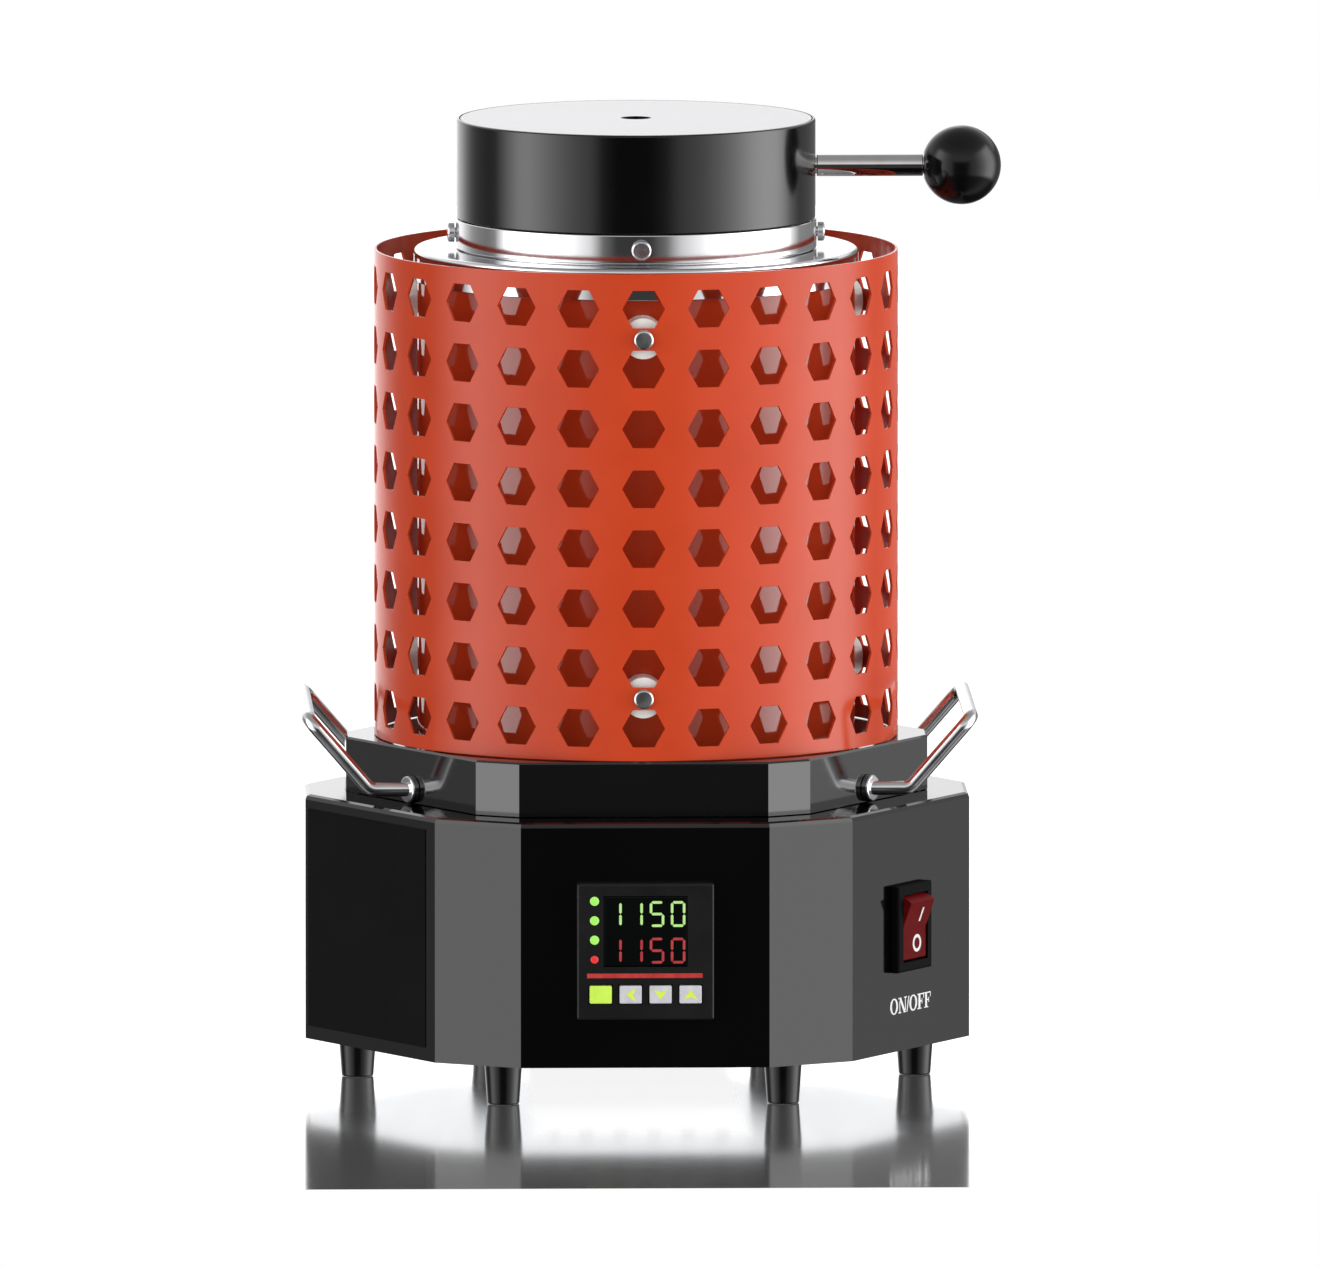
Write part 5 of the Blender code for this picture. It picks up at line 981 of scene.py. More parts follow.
def make_drum():
    """Painted drum, smooth all round, with its floor and the screws below it."""
    top = high("inner_drum")
    inside = DRUM_RADIUS - SHEET
    floor = DRUM_BOTTOM + DRUM_FLOOR
    corners = [(0, DRUM_BOTTOM), (DRUM_RADIUS, DRUM_BOTTOM), (DRUM_RADIUS, top)]
    corners += [(inside, top), (inside, floor), (0, floor)]
    drum = to_mesh(turned(corners, {1: DRUM_FLOOR, 2: EDGE, 3: EDGE}))
    for place in spacer_places():
        drum = drilled(drum, SCREW_RADIUS + GAP, inside, DRUM_RADIUS, place)
    passages = [("thermocouple_gland", PROBE_HOLE), ("lead_bushing_lower", LEAD_HOLE)]
    passages += [("lead_bushing_upper", LEAD_HOLE)]
    for passage, radius in passages:
        place = Matrix.Translation((middle(passage, "x") - AXIS_X, middle(passage, "y"), 0))
        drum = drilled(drum, radius, DRUM_BOTTOM, floor, place)

    head = low("inner_drum")
    end = DRUM_BOTTOM + DRUM_FLOOR / 2
    corners = [(0, head), (HEAD_RADIUS, head), (HEAD_RADIUS, head + HEAD_HEIGHT)]
    corners += [(SCREW_RADIUS, head + HEAD_HEIGHT), (SCREW_RADIUS, end), (0, end)]
    place = Matrix.Translation(heading(0) * DRUM_SCREW_CIRCLE)
    screw = put(turned(corners, {1: HEAD_ROUND}, SMALL_SIDES), place)
    piece("drum_screws", ringed(screw, ZINC, DRUM_SCREWS, first=SIDE_ANGLE / 2), ZINC)
    piece("painted_drum", drum, DRUM_PAINT, ["inner_drum"], crease=SHEET_CREASE)


def make_drum_top():
    """Polished flange with its rolled skirt and neck, the collar band and the band's bolts."""
    top = high("drum_flange")
    skirt = low("drum_flange")
    underside = high("inner_drum") + GAP
    plate = underside + SHEET
    neck_inside = NECK_RADIUS - SHEET
    skirt_inside = FLANGE_RADIUS - SHEET
    corners = [(neck_inside, underside), (skirt_inside, underside), (skirt_inside, skirt)]
    corners += [(FLANGE_RADIUS, skirt), (FLANGE_RADIUS, plate)]
    corners += [(NECK_RADIUS, plate), (NECK_RADIUS, top), (neck_inside, top)]
    radii = {1: FLANGE_BEND, 2: EDGE, 3: EDGE, 4: FLANGE_BEAD, 6: EDGE, 7: EDGE}
    piece("flange_with_neck", turned(corners, radii), FLANGE_STEEL, ["drum_flange"])

    corners = rectangle(COLLAR_RADIUS - COLLAR_WALL, low("collar_ring"), COLLAR_RADIUS, high("collar_ring"))
    band = turned(corners, {0: EDGE, 1: SOFT_EDGE, 2: SOFT_EDGE, 3: EDGE})
    piece("collar_band", band, FLANGE_STEEL, ["collar_ring"])
    screw = bolt(neck_inside, COLLAR_RADIUS + GAP, middle("collar_ring"))
    names = [f"collar_bolt_{index + 1}" for index in range(COLLAR_BOLTS)]
    piece("collar_band_bolts", ringed(screw, BOLT_STEEL, COLLAR_BOLTS), BOLT_STEEL, names)


def make_lid():
    """Enamelled wall with the brushed plate let into its top, and the chromed rod with its ball."""
    bottom = low("lid_shell")
    top = high("lid_shell")
    inside = LID_RADIUS - SHEET
    lip = LID_RADIUS - LID_LIP
    across = outward(90, middle("lid_rod"))
    corners = [(lip, bottom), (LID_RADIUS, bottom), (LID_RADIUS, top)]
    corners += [(inside, top), (inside, bottom + SHEET), (lip, bottom + SHEET)]
    wall = to_mesh(turned(corners, {1: SOFT_EDGE, 2: LID_EDGE, 3: LID_INNER_EDGE}))
    wall = drilled(wall, ROD_THREAD_RADIUS + GAP, inside, LID_RADIUS, across)
    piece("lid_wall", wall, LID_ENAMEL, ["lid_shell"], body="lid")
    corners = rectangle(LID_HOLE_RADIUS, top - LID_PLATE, LID_PLATE_RADIUS, top)
    plate = turned(corners, {2: EDGE, 3: SOFT_EDGE})
    piece("lid_plate", plate, LID_STEEL, ["lid_top_plate"], body="lid")

    knob_flat = KNOB_PLACE - math.sqrt(KNOB_RADIUS**2 - KNOB_FLAT_RADIUS**2)
    bore_end = knob_flat + KNOB_BORE
    shoulder = knob_flat - GAP
    corners = [(0, ROD_INNER_END), (ROD_THREAD_RADIUS, ROD_INNER_END), (ROD_THREAD_RADIUS, ROD_SHOULDER)]
    corners += [(ROD_RADIUS, ROD_SHOULDER), (ROD_RADIUS, shoulder), (ROD_THREAD_RADIUS, shoulder)]
    corners += [(ROD_THREAD_RADIUS, bore_end - GAP), (0, bore_end - GAP)]
    rod = turned(corners, dict.fromkeys((1, 3, 4, 6), SOFT_EDGE), SMALL_SIDES * 2)
    piece("lid_side_rod", put(rod, across), CHROME, ["lid_rod"], body="lid")

    start = math.asin(KNOB_FLAT_RADIUS / KNOB_RADIUS)
    bore = ROD_THREAD_RADIUS + GAP
    profile = [(0, bore_end), (bore, bore_end), (bore, knob_flat)]
    for step in range(KNOB_STEPS + 1):
        angle = start + (math.pi - start) * step / KNOB_STEPS
        radius = KNOB_RADIUS * math.sin(angle) if step < KNOB_STEPS else 0
        profile.append((radius, KNOB_PLACE - KNOB_RADIUS * math.cos(angle)))
    ball = put(spun(profile, SMALL_SIDES * 2), across)
    piece("knob_ball", ball, PHENOLIC, ["ball_knob"], body="lid")


def face_disc(side, level, radius, inner, thickness, edge):
    """A turned disc that lies along the plinth's slanted face, round the handle's rod."""
    slant = math.radians(SIDE_ANGLE)
    reach = (inner + thickness / 2 - HANDLE_HALF_SPAN * math.cos(slant)) / math.sin(slant)
    degrees = side * (SIDE_ANGLE if level < 0 else 180 - SIDE_ANGLE)
    centre = Matrix.Translation((side * reach, level * HANDLE_HALF_SPAN, HANDLE_LEVEL))
    disc = turned(rectangle(0, -thickness / 2, radius, thickness / 2), {2: edge}, SMALL_SIDES)
    return put(disc, centre @ facing(degrees) @ LAID_FORWARD)


def make_handles():
    """Bent and polished round rod at each side, with its turned flanges and inner nuts."""
    flange = (HANDLE_FLANGE_RADIUS, PLINTH_APOTHEM + GAP, HANDLE_FLANGE_THICKNESS, HANDLE_FLANGE_EDGE)
    nut_inner = PLINTH_APOTHEM - SHEET - GAP - HANDLE_NUT_THICKNESS
    nut = (HANDLE_NUT_RADIUS, nut_inner, HANDLE_NUT_THICKNESS, SOFT_EDGE)
    half = [(HANDLE_INNER_END, HANDLE_LEVEL), (HANDLE_STUB_END, HANDLE_LEVEL)]
    half += [(HANDLE_BAR_PLACE, PLINTH_BOTTOM + HANDLE_BAR_RISE)]
    bends = dict.fromkeys(range(1, 5), HANDLE_BEND)
    for name, side in (("left", -1), ("right", 1)):
        route = [(side * x, -HANDLE_HALF_SPAN, z) for x, z in half]
        route += [(side * x, HANDLE_HALF_SPAN, z) for x, z in reversed(half)]
        path = rounded(route, bends, closed=False, steps=HANDLE_BEND_STEPS)
        shapes = [swept(path, HANDLE_ROD_RADIUS, HANDLE_STEEL)]
        shapes += [face_disc(side, level, *disc) for level in (-1, 1) for disc in (flange, nut)]
        piece(f"bent_handle_{name}", together(shapes), HANDLE_STEEL, [f"handle_{name}"])


def make_feet():
    """Six turned plastic feet with a screw up the recess of each."""
    top = high("foot_1")
    nut = top - NUT_HEIGHT
    corners = [(0, FOOT_RECESS_DEPTH), (FOOT_RECESS_RADIUS, FOOT_RECESS_DEPTH), (FOOT_RECESS_RADIUS, 0)]
    corners += [(FOOT_BOTTOM_RADIUS, 0), (FOOT_TOP_RADIUS, FOOT_HEIGHT), (SCREW_RADIUS, FOOT_HEIGHT)]
    corners += [(SCREW_RADIUS, nut), (NUT_RADIUS, nut), (NUT_RADIUS, top), (0, top)]
    foot = turned(corners, {2: EDGE, 3: FOOT_EDGE, 4: SOFT_EDGE, 8: EDGE}, SMALL_SIDES)
    put(foot, Matrix.Translation(heading(0) * FOOT_CIRCLE_RADIUS))
    names = [f"foot_{index + 1}" for index in range(FEET)]
    feet = ringed(foot, FOOT_PLASTIC, FEET, first=SIDE_ANGLE / 2)
    piece("rubber_feet", feet, FOOT_PLASTIC, names)


# Heater and crucible


def make_heater():
    """Resistance wire wound up the inside of the chamber, its ends led down through the drum's floor."""
    bottom = low("chamber_tube") + COIL_BOTTOM_MARGIN
    top = high("chamber_tube") - COIL_TOP_MARGIN
    run = DRUM_BOTTOM - LEAD_DROP
    end = middle("heater_terminals", "y")
    lower = 180 - LEAD_TURN
    sweep = COIL_TURNS * 360 + 2 * LEAD_TURN
    count = COIL_TURNS * COIL_POINTS
    winding = []
    for index in range(count + 1):
        share = index / count
        rise = Vector((0, 0, bottom + share * (top - bottom)))
        winding.append(heading(lower + share * sweep) * COIL_RADIUS + rise)
    near = heading(lower) * COIL_RADIUS
    far = heading(180 + LEAD_TURN) * LEAD_OUTER_RADIUS
    start_route = [(near.x, end, run), (near.x, near.y, run), winding[0], winding[3]]
    end_route = [winding[-4], winding[-1], (far.x, far.y, top), (far.x, far.y, run), (far.x, end, run)]
    path = rounded(start_route, dict.fromkeys((1, 2), LEAD_BEND), closed=False)
    path += winding[4:-4]
    path += rounded(end_route, dict.fromkeys((1, 2, 3), LEAD_BEND), closed=False)
    wire = swept(path, WIRE_RADIUS, HEATER_WIRE, sides=WIRE_SIDES)
    piece("heating_wire", wire, HEATER_WIRE, ["heating_coil"])


def make_crucible():
    """Turned graphite crucible with a rounded rim and well."""
    bottom = low("crucible")
    top = high("crucible")
    well = bottom + CRUCIBLE_FLOOR
    rim_inside = CRUCIBLE_TOP_RADIUS - CRUCIBLE_WALL
    well_radius = CRUCIBLE_FOOT_RADIUS - CRUCIBLE_WALL
    corners = [(0, bottom), (CRUCIBLE_FOOT_RADIUS, bottom), (CRUCIBLE_TOP_RADIUS, top)]
    corners += [(rim_inside, top), (well_radius, well), (0, well)]
    radii = {1: CRUCIBLE_FOOT_EDGE, 2: CRUCIBLE_RIM_EDGE, 3: CRUCIBLE_RIM_EDGE, 4: CRUCIBLE_WELL_ROUND}
    crucible = turned(corners, radii, SMALL_SIDES * 2)
    piece("graphite_crucible", crucible, GRAPHITE, ["crucible"], body="crucible")


# Temperature controller

CONTROLLER = on_face(0, HOUSING_APOTHEM, CONTROLLER_HEIGHT)
SEGMENTS = {"0": "abcdef", "1": "bc", "5": "acdfg"}
# Places of the segments in shares of a digit's half width and half height
SEGMENT_SHARES = {
    "a": (0, 1),
    "b": (1, 0.5),
    "c": (1, -0.5),
    "d": (0, -1),
    "e": (-1, -0.5),
    "f": (-1, 0.5),
    "g": (0, 0),
}
# Arrowhead that points left, in shares of a key's half height
ARROW_SHARES = ((0.6, 0.8), (0.25, 0), (0.6, -0.8), (-0.55, 0))


def segment(letter, x, z):
    """One bar of a seven-segment digit as an outline with pointed ends."""
    across_share, along_share = SEGMENT_SHARES[letter]
    centre_x = x + across_share * DIGIT_HALF_WIDTH
    centre_z = z + along_share * DIGIT_HALF_HEIGHT
    flat = letter in "adg"
    half = (DIGIT_HALF_WIDTH if flat else DIGIT_HALF_HEIGHT / 2) - DIGIT_STROKE / 6
    point = DIGIT_STROKE / 2
    outline = [(-half, 0), (-half + point, -point), (half - point, -point)]
    outline += [(half, 0), (half - point, point), (-half + point, point)]
    if not flat:
        outline = [(-across, along) for along, across in outline]
    return [(centre_x + across, centre_z + along) for across, along in outline]


def digits_row(text, rise):
    """The lit bars of a row of digits, just proud of the pane."""
    shapes = []
    for digit, x in zip(text, DIGIT_PLACES):
        for letter in SEGMENTS[digit]:
            outline = segment(letter, x, WINDOW_RISE + rise)
            shapes.append(printed(outline, WINDOW_RECESS - BEZEL_FRONT))
    return put(together(shapes), CONTROLLER)


def lamp(rise, radius=LAMP_RADIUS):
    """A domed lamp lens in the bezel."""
    profile = [(0, -LAMP_DEPTH), (radius, -LAMP_DEPTH), (radius, 0)]
    for step in range(1, ARC_STEPS + 1):
        angle = math.pi / 2 * step / ARC_STEPS
        reach = radius * math.cos(angle) if step < ARC_STEPS else 0
        profile.append((reach, LAMP_DOME * math.sin(angle)))
    place = Matrix.Translation((LAMP_PLACE, -BEZEL_FRONT, rise))
    return put(spun(profile, SMALL_SIDES), CONTROLLER @ place @ LAID_FORWARD)


def arrow(x, degrees):
    """A printed arrowhead on a key, turned by an angle from the one that points left."""
    turn = math.radians(degrees)
    half = BUTTON_HEIGHT / 2
    outline = []
    for across, along in ARROW_SHARES:
        wide = across * math.cos(turn) - along * math.sin(turn)
        tall = across * math.sin(turn) + along * math.cos(turn)
        outline.append((x + wide * half, tall * half - BUTTON_DROP))
    return put(printed(outline, -BEZEL_FRONT - BUTTON_PROUD), CONTROLLER)


def make_controller():
    """Moulded bezel, smoked pane with lit digits, lamps, printed line and four keys."""
    bezel = to_mesh(solid_block(BEZEL_SIZE, BEZEL_SIZE, -BEZEL_FRONT, -GAP, BEZEL_EDGE))
    ends = (-BEZEL_FRONT - OVERRUN, OVERRUN)
    bezel = cut_out(bezel, solid_block(WINDOW_WIDTH, WINDOW_HEIGHT, *ends, rise=WINDOW_RISE))
    keys = ("button_set", "button_left", "button_down", "button_up")
    places = [(index - 1.5) * BUTTON_PITCH for index in range(len(keys))]
    for x in places:
        opening = solid_block(BUTTON_WIDTH + 2 * GAP, BUTTON_HEIGHT + 2 * GAP, *ends, rise=-BUTTON_DROP)
        bezel = cut_out(bezel, put(opening, Matrix.Translation((x, 0, 0))))
    bezel.transform(CONTROLLER)
    piece("bezel_moulding", bezel, BEZEL_PLASTIC, ["controller_bezel"])

    width = high("controller_window", "x") - low("controller_window", "x")
    height = WINDOW_HEIGHT - WINDOW_WIDTH + width
    pane = solid_block(width, height, WINDOW_RECESS - BEZEL_FRONT, -PANE_BACK, PANE_EDGE, WINDOW_RISE)
    piece("smoked_pane", put(pane, CONTROLLER), SMOKED_ACRYLIC, ["controller_window"])
    piece("upper_digits", digits_row("1150", UPPER_DIGITS), GREEN_SEGMENT)
    piece("lower_digits", digits_row("1150", LOWER_DIGITS), RED_SEGMENT)
    piece("green_lamps", together([lamp(rise) for rise in GREEN_LAMPS]), GREEN_LIGHT)
    piece("red_lamp_lens", lamp(RED_LAMP, RED_LAMP_RADIUS), RED_LIGHT)
    left, right = LINE_ENDS
    line = rectangle(left, -LINE_DROP - LINE_HEIGHT / 2, right, -LINE_DROP + LINE_HEIGHT / 2)
    piece("red_printed_line", put(printed(line, -BEZEL_FRONT), CONTROLLER), RED_PRINT)

    for key, x in zip(keys, places):
        ends = (-BEZEL_FRONT - BUTTON_PROUD, high(key, "y") + HOUSING_APOTHEM)
        cap = solid_block(BUTTON_WIDTH, BUTTON_HEIGHT, *ends, BUTTON_EDGE, -BUTTON_DROP)
        put(cap, CONTROLLER @ Matrix.Translation((x, 0, 0)))
        finish, slot = (GREEN_KEY, "green_button") if key == "button_set" else (SILVER_KEY, "silver_button")
        piece(f"{key}_cap", cap, finish, [key], body=key)
    for key, x, degrees in zip(keys[1:], places[1:], (0, 90, -90)):
        piece(f"{key}_arrow", arrow(x, degrees), KEY_PRINT, body=key)


# Rocker switch

SWITCH = on_face(SIDE_ANGLE, HOUSING_APOTHEM, SWITCH_HEIGHT) @ Matrix.Translation((SWITCH_OFFSET, 0, 0))


def oval_ring(half_width, half_height, side, end):
    """A flat oval letter with a stroke of its own at the sides and at the ends."""
    shape = bmesh.new()
    loops = []
    for depth, inward in ((-1, 0), (-1, 1), (1, 1), (1, 0)):
        loop = []
        for step in range(OVAL_STEPS):
            angle = math.tau * step / OVAL_STEPS
            x = (half_width - inward * side) * math.cos(angle)
            z = (half_height - inward * end) * math.sin(angle)
            loop.append(shape.verts.new((x, depth * PRINT_THICKNESS, z)))
        loops.append(loop)
    for index, loop in enumerate(loops):
        joined(shape, loops[index - 1], loop)
    return faced_outward(shape)



# Strokes of the upright serif letters in cap heights about the letter's middle
LETTER_SHARES = {
    "N": (
        ((-0.46, 0.5), (-0.2, 0.5), (0.44, -0.5), (0.18, -0.5)),
        rectangle(-0.42, -0.43, -0.32, 0.28),
        rectangle(0.34, -0.34, 0.44, 0.43),
        rectangle(-0.56, -0.5, -0.18, -0.43),
        rectangle(0.2, 0.43, 0.58, 0.5),
        rectangle(-0.56, 0.43, -0.42, 0.5),
    ),
    "F": (
        rectangle(-0.3, -0.5, -0.05, 0.5),
        rectangle(-0.44, 0.43, -0.3, 0.5),
        rectangle(-0.05, 0.42, 0.44, 0.5),
        rectangle(0.35, 0.18, 0.44, 0.42),
        rectangle(-0.05, -0.04, 0.14, 0.04),
        rectangle(0.14, -0.17, 0.21, 0.17),
        rectangle(-0.44, -0.5, -0.3, -0.43),
        rectangle(-0.05, -0.5, 0.1, -0.43),
    ),
    "/": (((-0.2, -0.5), (-0.08, -0.5), (0.2, 0.5), (0.08, 0.5)),),
}
OVAL_SHARES = (0.53, 0.52, 0.24, 0.08)


def flat_letter(name):
    """One letter of the words, as thin as the print."""
    if name == "O":
        return oval_ring(*(share * WORD_HEIGHT for share in OVAL_SHARES))
    strokes = [[(x * WORD_HEIGHT, z * WORD_HEIGHT) for x, z in outline] for outline in LETTER_SHARES[name]]
    return together([printed(stroke) for stroke in strokes])


def make_switch():
    """Red rocker with two dished faces, its printed marks and the words below it."""
    width = SWITCH_WIDTH - 2 * SWITCH_RIM - 2 * GAP
    radius = SWITCH_TALL / 2 - SWITCH_RIM - GAP
    lift = math.radians(ROCKER_LIFT)
    dish = math.tan(math.radians(ROCKER_DISH)) * radius * math.cos(lift)
    back = math.asin(ROCKER_BACK / radius)
    outline = [(dish - radius * math.sin(lift), 0)]
    arc = [lift - (back + lift) * step / ROCKER_STEPS for step in range(ROCKER_STEPS + 1)]
    outline += [(-radius * math.sin(angle), radius * math.cos(angle)) for angle in arc]
    outline += [(-radius * math.sin(angle), -radius * math.cos(angle)) for angle in reversed(arc)]
    shape = prism(*([(side, depth, rise) for depth, rise in outline] for side in (-width / 2, width / 2)))
    tilt = Matrix.Rotation(math.radians(ROCKER_TILT), 4, "X")
    tilted = SWITCH @ Matrix.Translation((0, ROCKER_PIVOT_DEPTH, 0)) @ tilt
    bevel = edge_bevel(ROCKER_EDGE, EDGE_STEPS, ROCKER_EDGE_ANGLE)
    rocker = evaluated(to_mesh(shape), {"BEVEL": bevel})
    rocker.transform(tilted)
    piece("red_rocker_cap", rocker, RED_ROCKER, ["rocker"], body="rocker", crease=ROCKER_CREASE)

    centre = Vector((0, outline[0][0], 0))
    end = Vector((0, -radius * math.sin(lift), radius * math.cos(lift)))
    slope = math.atan2(end.y - centre.y, end.z - centre.z)
    upper = Matrix.Translation((centre + end) / 2) @ Matrix.Rotation(-slope, 4, "X")
    end.z = -end.z
    lower = Matrix.Translation((centre + end) / 2) @ Matrix.Rotation(slope, 4, "X")
    bar = printed(rectangle(-MARK_STROKE / 2, -MARK_HEIGHT / 2, MARK_STROKE / 2, MARK_HEIGHT / 2))
    oval = oval_ring(MARK_OVAL, MARK_OVAL, MARK_STROKE, MARK_STROKE)
    aside = Matrix.Translation((MARK_SHIFT, 0, 0))
    marks = together([put(bar, tilted @ aside @ upper), put(oval, tilted @ aside @ lower)])
    piece("rocker_marks", marks, WHITE_PRINT, body="rocker")

    face = on_face(SIDE_ANGLE, HOUSING_APOTHEM, WORD_PLACE) @ Matrix.Translation((WORD_SHIFT, 0, 0))
    letters = [put(flat_letter(name), face @ Matrix.Translation((x, 0, 0))) for name, x in WORD_LETTERS]
    piece("switch_words", together(letters), WHITE_PRINT)


def make_label():
    """Bare black label plate on the face left of the front."""
    plate = solid_block(LABEL_WIDTH, LABEL_TALL, -LABEL_THICKNESS, LABEL_THICKNESS, LABEL_THICKNESS / 3)
    face = on_face(-SIDE_ANGLE, HOUSING_APOTHEM, LABEL_HEIGHT) @ Matrix.Translation((LABEL_OFFSET, 0, 0))
    piece("bare_label_plate", put(plate, face), LABEL_FILM)


make_shell()
make_drum()
make_drum_top()
make_lid()
make_handles()
make_feet()
make_heater()
make_crucible()
make_controller()
make_switch()
make_label()

# Finishes of the CAD nodes that stay
CAD_FINISHES = {
    "black_paint": HOUSING_ENAMEL,
    "orange_paint": POWDER_COAT,
    "polished_steel": FLANGE_STEEL,
    "satin_steel": LID_STEEL,
    "chrome": CHROME,
    "zinc_plated_steel": ZINC,
    "aluminium": ALUMINIUM,
    "black_plastic": BLACK_PLASTIC,
    "foot_plastic": FOOT_PLASTIC,
    "smoked_window": SMOKED_ACRYLIC,
    "green_button": GREEN_KEY,
    "silver_button": SILVER_KEY,
    "red_rocker": RED_ROCKER,
    "ceramic_fibre": FIBRE,
    "ceramic": CERAMIC,
    "graphite": GRAPHITE,
    "resistance_wire": HEATER_WIRE,
}
for name in frame["nodes"]:
    for holder in bpy.data.objects[name].material_slots:
        if holder.material and holder.material.name in CAD_FINISHES:
            holder.material = CAD_FINISHES[holder.material.name]
for holder in bpy.data.objects["upper_plinth"].material_slots:
    holder.material = PLINTH_ENAMEL


# Studio: a white surround for the camera, bands of light for glossy sides and soft light for matt ones


# Light that glossy sides mirror, by heading: two tall softboxes, a dark front and a pale back
BRIGHTEST = 5.4
SOFTBOX_BANDS = (
    *((-180, 1.7), (-165, 1.3), (-150, 1.2), (-140, 0.7), (-132, 0.4), (-124, 0.28), (-112, 0.22)),
    *((-104, 0.3), (-97, 1.2), (-90, 2.4), (-83, 3.8), (-75, 4.2), (-63, 3.2), (-51, 2.1), (-40, 1.35)),
    *((-31, 1.0), (-23, 0.2), (-14, 0.05), (8, 0.05), (18, 0.2), (27, 0.8), (43, 1.35), (55, 2.3)),
    *((66, 3.5), (79, 5.1), (88, 5.4), (100, 4.6), (108, 3.0), (117, 1.0), (127, 0.3), (168, 0.2)),
    (180, 1.7),
)


def make_world():
    """White backdrop for the camera; light and reflections that depend on the direction only."""
    world = bpy.data.worlds.new("studio")
    bpy.context.scene.world = world
    tree = empty_tree(world)
    direction = node(tree, "ShaderNodeTexCoord").outputs["Generated"]
    parts = node(tree, "ShaderNodeSeparateXYZ", {0: direction}).outputs

    def by_height(ends):
        return mapped(tree, parts["Z"], ends, "SMOOTHSTEP")

    def mixed(share, first, second):
        return node(tree, "ShaderNodeMix", {0: share, 2: first, 3: second}, data_type="FLOAT").outputs[0]

    turn = calculated(tree, "ARCTAN2", parts["X"], calculated(tree, "MULTIPLY", parts["Y"], -1.0))
    place = calculated(tree, "ADD", calculated(tree, "DIVIDE", turn, math.tau), 0.5)
    steps = node(tree, "ShaderNodeValToRGB", {"Fac": place})
    bands = steps.color_ramp.elements
    # A new ramp has a stop at each end, which the first and the last band take
    for angle, light in SOFTBOX_BANDS[1:-1]:
        bands.new((angle + 180) / 360)
    for stop, (angle, light) in zip(bands, SOFTBOX_BANDS):
        stop.color = (light / BRIGHTEST, light / BRIGHTEST, light / BRIGHTEST, 1)
    round_about = calculated(tree, "MULTIPLY", steps.outputs["Color"], BRIGHTEST)
    lower = calculated(tree, "MULTIPLY", round_about, by_height(LOW_LIGHT))
    band_end = calculated(tree, "MULTIPLY", round_about, by_height(BAND_END))
    overhead = calculated(tree, "MINIMUM", by_height(HIGH_LIGHT_RISE), by_height(HIGH_LIGHT_FALL))
    upper = calculated(tree, "MAXIMUM", band_end, overhead)
    glow = mixed(by_height(HORIZON), lower, upper)
    rays = node(tree, "ShaderNodeLightPath").outputs
    lit = mixed(rays["Is Diffuse Ray"], glow, DIFFUSE_LIGHT)
    strength = mixed(rays["Is Camera Ray"], lit, 1.0)
    backdrop = node(tree, "ShaderNodeBackground", {"Color": (1, 1, 1, 1), "Strength": strength})
    node(tree, "ShaderNodeOutputWorld", {"Surface": backdrop.outputs[0]})


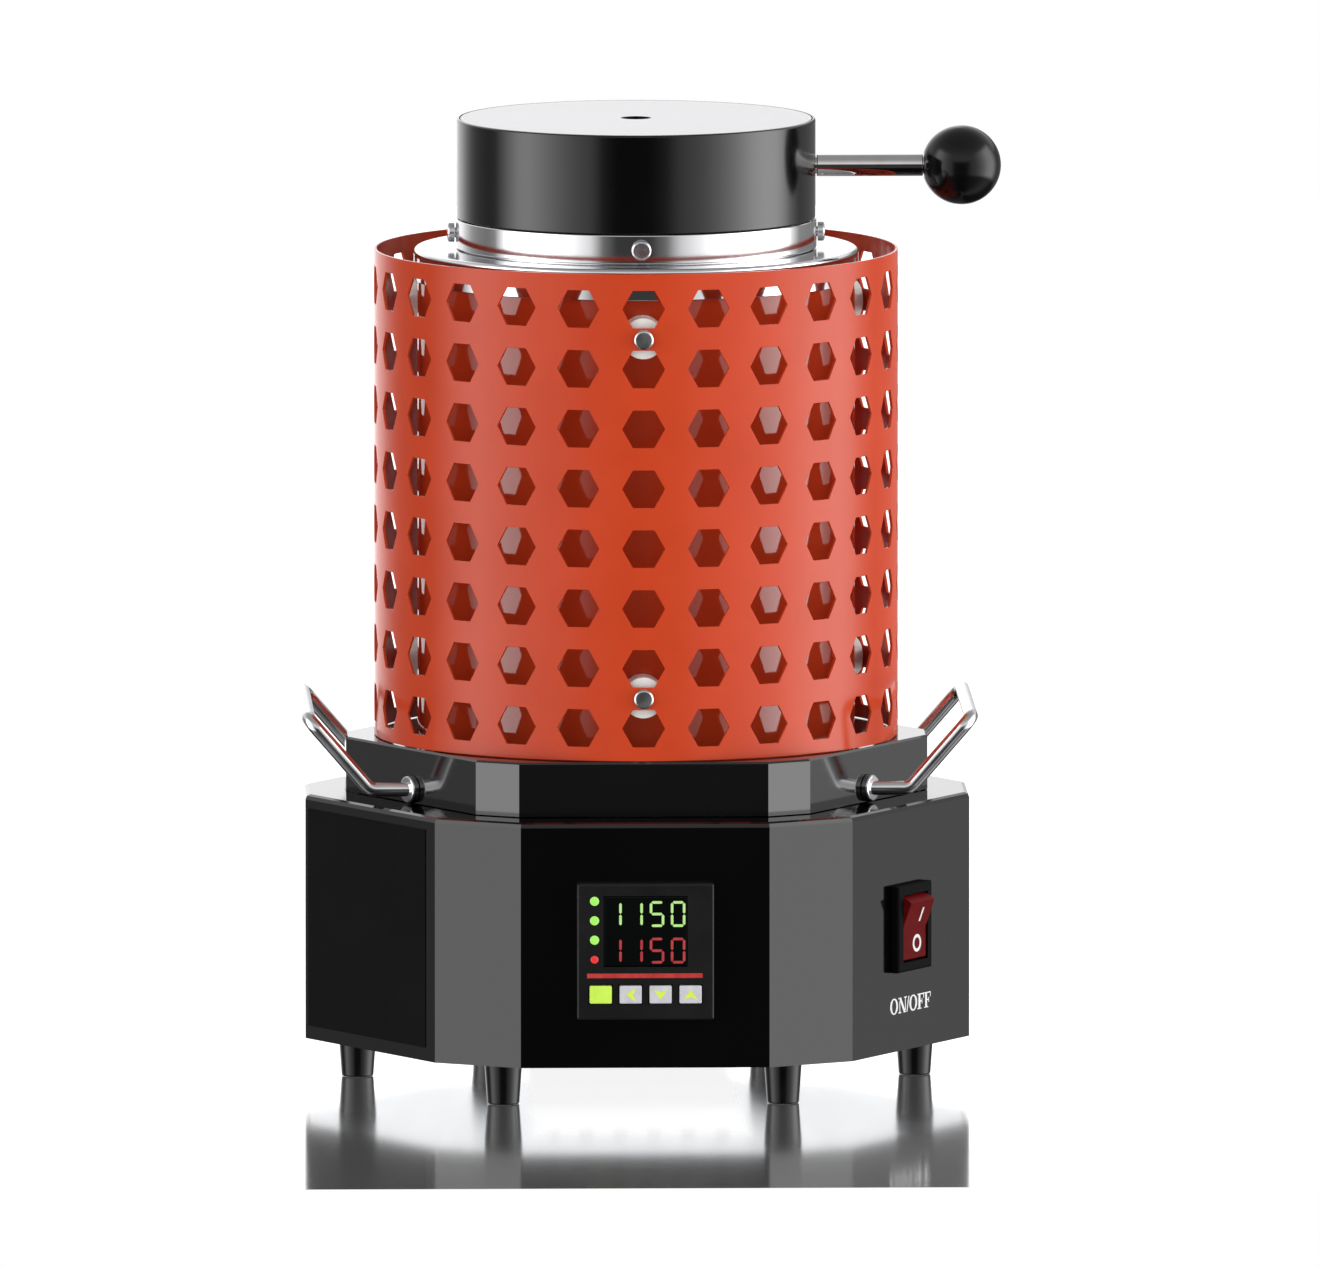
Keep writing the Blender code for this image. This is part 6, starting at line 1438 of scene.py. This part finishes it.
def make_floor():
    """Plain pale floor that mirrors what stands on it in a low view, seen by the camera only."""
    mesh = bpy.data.meshes.new("studio_floor")
    corners = [(x, y, 0) for x, y in rectangle(-FLOOR_HALF, FLOOR_FRONT, FLOOR_HALF, FLOOR_HALF)]
    mesh.from_pydata(corners, [], [(0, 1, 2, 3)])
    floor = placed("studio_floor", mesh)
    floor.visible_diffuse = False
    floor.visible_glossy = False
    floor.visible_transmission = False
    floor.visible_shadow = False
    material = bpy.data.materials.new("pale_studio_floor")
    tree = empty_tree(material)
    white = (1, 1, 1, 1)
    glow = node(tree, "ShaderNodeEmission", {"Color": white, "Strength": FLOOR_GLOW}).outputs[0]
    grey = (FLOOR_GREY, FLOOR_GREY, FLOOR_GREY, 1)
    matt = node(tree, "ShaderNodeBsdfDiffuse", {"Color": grey}).outputs[0]
    pale = node(tree, "ShaderNodeAddShader", {0: glow, 1: matt}).outputs[0]
    gloss = node(tree, "ShaderNodeBsdfGlossy", {"Color": white, "Roughness": FLOOR_ROUGHNESS}).outputs[0]
    turned_away = node(tree, "ShaderNodeLayerWeight", {"Blend": 0.5}).outputs["Facing"]
    edge_on = mapped(tree, turned_away, FLOOR_MIRROR)
    place = node(tree, "ShaderNodeTexCoord").outputs["Object"]
    parts = node(tree, "ShaderNodeSeparateXYZ", {0: place}).outputs
    aside = calculated(tree, "ABSOLUTE", calculated(tree, "SUBTRACT", parts["X"], PATCH_MIDDLE))
    beside = mapped(tree, aside, PATCH_SIDE, "SMOOTHSTEP")
    ahead = mapped(tree, parts["Y"], PATCH_FRONT, "SMOOTHSTEP")
    behind = mapped(tree, parts["Y"], PATCH_BACK, "SMOOTHSTEP")
    clear = calculated(tree, "MAXIMUM", beside, calculated(tree, "MAXIMUM", ahead, behind))
    share = calculated(tree, "MULTIPLY", edge_on, clear)
    both = node(tree, "ShaderNodeMixShader", {0: share, 1: pale, 2: gloss}).outputs[0]
    node(tree, "ShaderNodeOutputMaterial", {"Surface": both})
    mesh.materials.append(material)


def make_fill(name, start, end, first, last):
    """A tall curved light for matt surfaces between two headings, its radiance given at both ends."""
    low_edge = FILL_DISTANCE * math.tan(math.radians(FILL_LOW))
    high_edge = FILL_DISTANCE * math.tan(math.radians(FILL_HIGH))
    level = FILL_LEVEL + (low_edge + high_edge) / 2
    half_swing = math.radians(abs(end - start) / FILL_PANELS / 2)
    width = 2 * FILL_DISTANCE * math.tan(half_swing)
    height = high_edge - low_edge
    for index in range(FILL_PANELS):
        share = (index + 0.5) / FILL_PANELS
        light = bpy.data.lights.new(f"{name}_{index}", "AREA")
        light.shape = "RECTANGLE"
        light.size = width
        light.size_y = height
        light.energy = (first + (last - first) * share) * math.pi * width * height
        panel = placed(light.name, light)
        direction = heading(start + share * (end - start))
        panel.location = direction * FILL_DISTANCE + Vector((0, 0, level))
        panel.rotation_euler = (-direction).to_track_quat("-Z", "Y").to_euler()
        panel.visible_camera = False
        panel.visible_glossy = False


def make_camera():
    """The photograph's nearly level and nearly parallel view."""
    data = bpy.data.cameras.new("camera")
    data.lens = CAMERA_LENS
    data.sensor_width = CAMERA_SENSOR
    data.clip_end = CAMERA_REACH
    camera = placed("camera", data)
    bpy.context.scene.camera = camera
    elevation = math.radians(CAMERA_ELEVATION)
    away = heading(CAMERA_AZIMUTH) * math.cos(elevation) + Vector((0, 0, math.sin(elevation)))
    camera.location = Vector(CAMERA_TARGET) * MM + away * CAMERA_DISTANCE
    camera.rotation_euler = (-away).to_track_quat("-Z", "Y").to_euler()


make_world()
make_floor()
make_fill("left_fill", *LEFT_FILL)
make_fill("right_fill", *RIGHT_FILL)
make_camera()
bpy.context.scene.view_settings.view_transform = "Standard"
